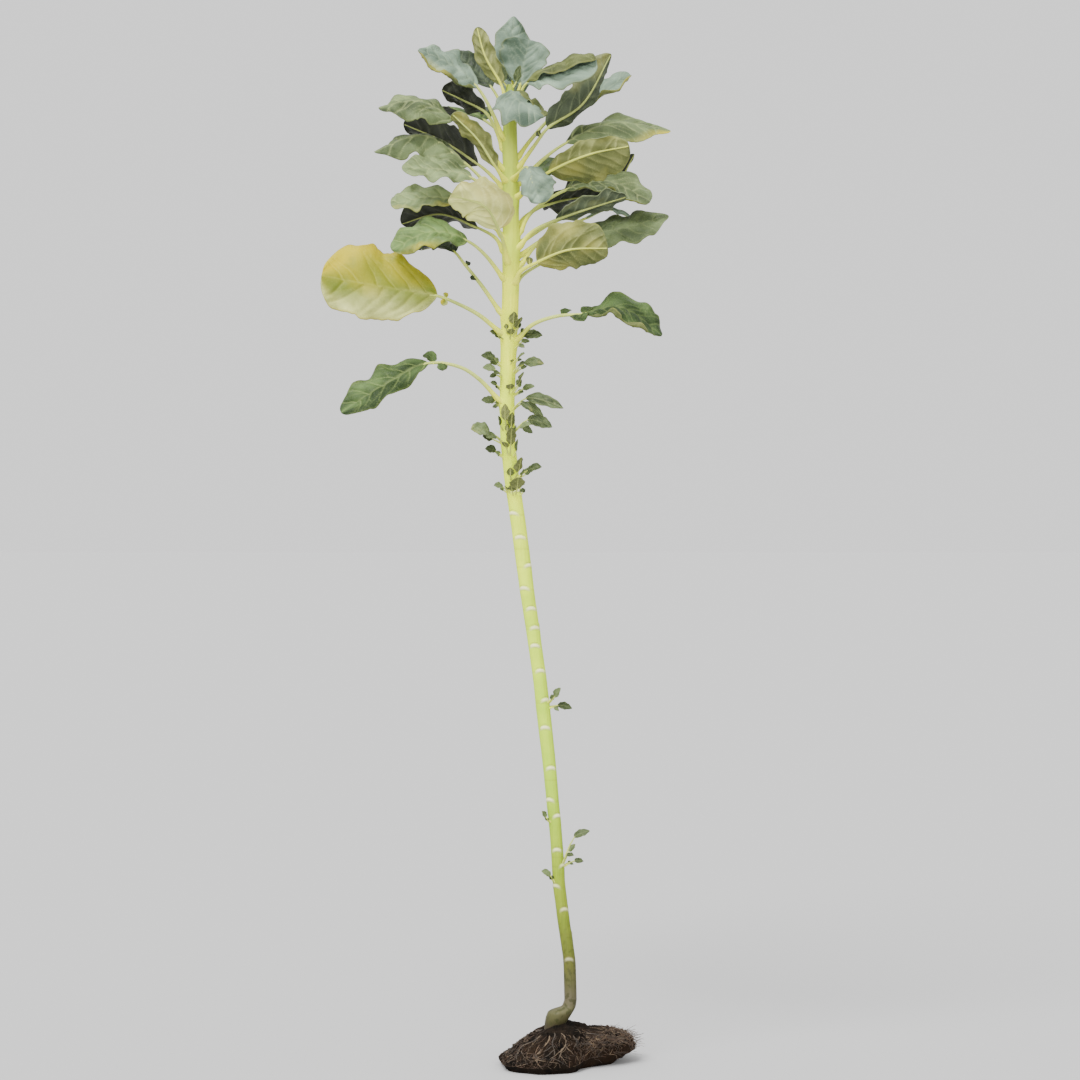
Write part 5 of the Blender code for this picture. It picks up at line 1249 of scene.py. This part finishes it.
def fineRoot(spline, draw):  # one thin root along the soil, and its tint
    plan = fineRootPlan
    points = plan["points"]
    right = draw.uniform() < plan["matShare"]
    bearing = draw.uniform(*plan["matBearings"]) if right else draw.uniform(0, 360)
    down = draw.uniform(*plan["down"]) ** 0.8
    heading = draw.uniform(0, 2 * math.pi) if right else draw.normal(math.pi / 2, 0.55)
    length = draw.uniform(*plan["length"])
    size = draw.uniform(*plan["size"]) * (plan["thick"][1] if draw.uniform() < plan["thick"][0] else 1.0)
    bend = draw.normal(0, plan["bend"][0])
    loose = down > 0.5 and abs(bearing) < 34 and draw.uniform() < plan["looseShare"]
    reach = np.interp(bearing % 360, clodPlan["bearings"], clodPlan["reach"])
    spline.points.add(points - 1)
    for step in range(points):
        place, normal = onClod(bearing, down)
        lift = size * draw.uniform(-0.3, 1.3)
        if right:
            lift += plan["standOff"] * max(draw.normal(0, 1), 0)
        place = place + lift * normal
        if loose and step > plan["looseFrom"]:
            way = 0.3 * normal + compass(bearing) + 0.45 * draw.standard_normal(3) - (0, 0, 0.15)
            place = last + length / points * unit(way)
        last = place
        spline.points[step].co = (*place[:2], max(place[2], size + crumbPlan["ground"]), 1)
        spline.points[step].radius = size * (1 - 0.6 * step / points)
        bearing += math.degrees(math.cos(heading) * length / points / reach)
        down = min(max(down + math.sin(heading) * length / points / plan["depth"], 0.12), 1.0)
        heading += bend + draw.normal(0, plan["bend"][1])
    return (draw.uniform(0, 1) ** 2.5, draw.uniform(0.4, 1) if right else 0.3 * draw.uniform(),
            draw.uniform(0.3, 0.9), 1)


def buildFineRoots(skin):  # thin roots over the clod, as one bevelled curve made a mesh
    draw = np.random.default_rng(21)
    curve = bpy.data.curves.new("fineRoots", "CURVE")
    curve.dimensions = "3D"
    curve.bevel_depth = 1.0
    curve.bevel_resolution = 0
    curve.use_fill_caps = True
    tints = [fineRoot(curve.splines.new("POLY"), draw) for number in range(fineRootPlan["count"])]
    item = bpy.data.objects.new("fineRoots", curve)
    bpy.context.scene.collection.objects.link(item)
    bpy.ops.object.select_all(action="DESELECT")
    item.select_set(True)
    bpy.context.view_layer.objects.active = item
    bpy.ops.object.convert(target="MESH")
    item = bpy.context.active_object
    each = len(item.data.vertices) // len(tints)
    paint(item, "rootPaint", np.repeat(np.array(tints), each, axis=0))
    item.data.materials.clear()
    item.data.materials.append(skin)
    bpy.ops.object.shade_smooth()
    keepPiece(item, "soil_clod")


def buildCrumbs(soil):  # loose crumbs: one shape copied, each with its own mesh
    draw = np.random.default_rng(31)
    bpy.ops.object.select_all(action="DESELECT")
    bpy.ops.mesh.primitive_ico_sphere_add(subdivisions=1, radius=1)
    first = bpy.context.active_object
    shape = np.array([vertex.co for vertex in first.data.vertices])
    crumbs = []
    for number in range(crumbPlan["count"]):
        crumb = first if number == 0 else first.copy()
        if number:
            crumb.data = first.data.copy()
            bpy.context.scene.collection.objects.link(crumb)
        place, normal = onClod(draw.uniform(0, 360), draw.uniform(0.25, 1.0) ** 0.7)
        size = draw.uniform(*crumbPlan["size"]) * draw.uniform(0.6, 1.0, 3)
        uneven = crumbPlan["uneven"] * draw.standard_normal((len(shape), 1)).clip(-1.5, 1.5)
        points = shape * size * (1 + uneven) + place + crumbPlan["standOff"] * size.max() * normal
        points[:, 2] = np.maximum(points[:, 2], crumbPlan["ground"])
        crumb.data.vertices.foreach_set("co", points.astype(np.float32).ravel())
        crumbs.append(crumb)
    crumbs = joinPieces(crumbs, "soilCrumbs")
    crumbs.data.materials.append(soil)
    bpy.ops.object.shade_smooth_by_angle(angle=math.radians(60))
    keepPiece(crumbs, "soil_clod")


soil = buildClod()
rootSkin = buildMainRoots()
buildFineRoots(rootSkin)
buildCrumbs(soil)
print("walking stick kale: clod and roots made")


studio = {
    "eye": (-0.049, -4.5, 0.988),
    "lens": 79.57,
    "sensor": 36.0,
    "floor": (0.462, 0.462, 0.462),
    "floorSize": 400.0,
    "world": (1.0, 1.0, 1.0),
    "worldStrength": 1.2,
    "key": dict(towards=(0.55, 0.80, -1.25), spread=34, power=5.4),
    "front": dict(towards=(-0.10, 1.0, -0.05), spread=40, power=3.0),
}


def addFloor():
    bpy.ops.object.select_all(action="DESELECT")
    bpy.ops.mesh.primitive_plane_add(size=studio["floorSize"])
    floor = bpy.context.active_object
    floor.name = floor.data.name = "paleFloor"
    material, _, shader = newMaterial("paleFloor")
    shader.inputs["Base Color"].default_value = (*studio["floor"], 1)
    shader.inputs["Roughness"].default_value = 0.9
    shader.inputs["Specular IOR Level"].default_value = 0.1
    floor.data.materials.append(material)


def addSun(name, towards, spread, power):
    lamp = bpy.data.lights.new(name, "SUN")
    lamp.angle = math.radians(spread)
    lamp.energy = power
    item = bpy.data.objects.new(name, lamp)
    item.rotation_euler = Vector(towards).to_track_quat("-Z", "Y").to_euler()
    bpy.context.scene.collection.objects.link(item)


def addCamera():
    camera = bpy.data.cameras.new("camera")
    camera.lens = studio["lens"]
    camera.sensor_width = studio["sensor"]
    item = bpy.data.objects.new("camera", camera)
    item.location = studio["eye"]
    item.rotation_euler = (math.radians(90), 0, 0)
    bpy.context.scene.collection.objects.link(item)
    bpy.context.scene.camera = item


addFloor()
world = bpy.data.worlds.new("paleStudio")
bpy.context.scene.world = world
world.use_nodes = True
world.node_tree.nodes["Background"].inputs["Color"].default_value = (*studio["world"], 1)
world.node_tree.nodes["Background"].inputs["Strength"].default_value = studio["worldStrength"]
addSun("keyLight", **studio["key"])
addSun("frontLight", **studio["front"])
addCamera()
print("walking stick kale: studio ready")
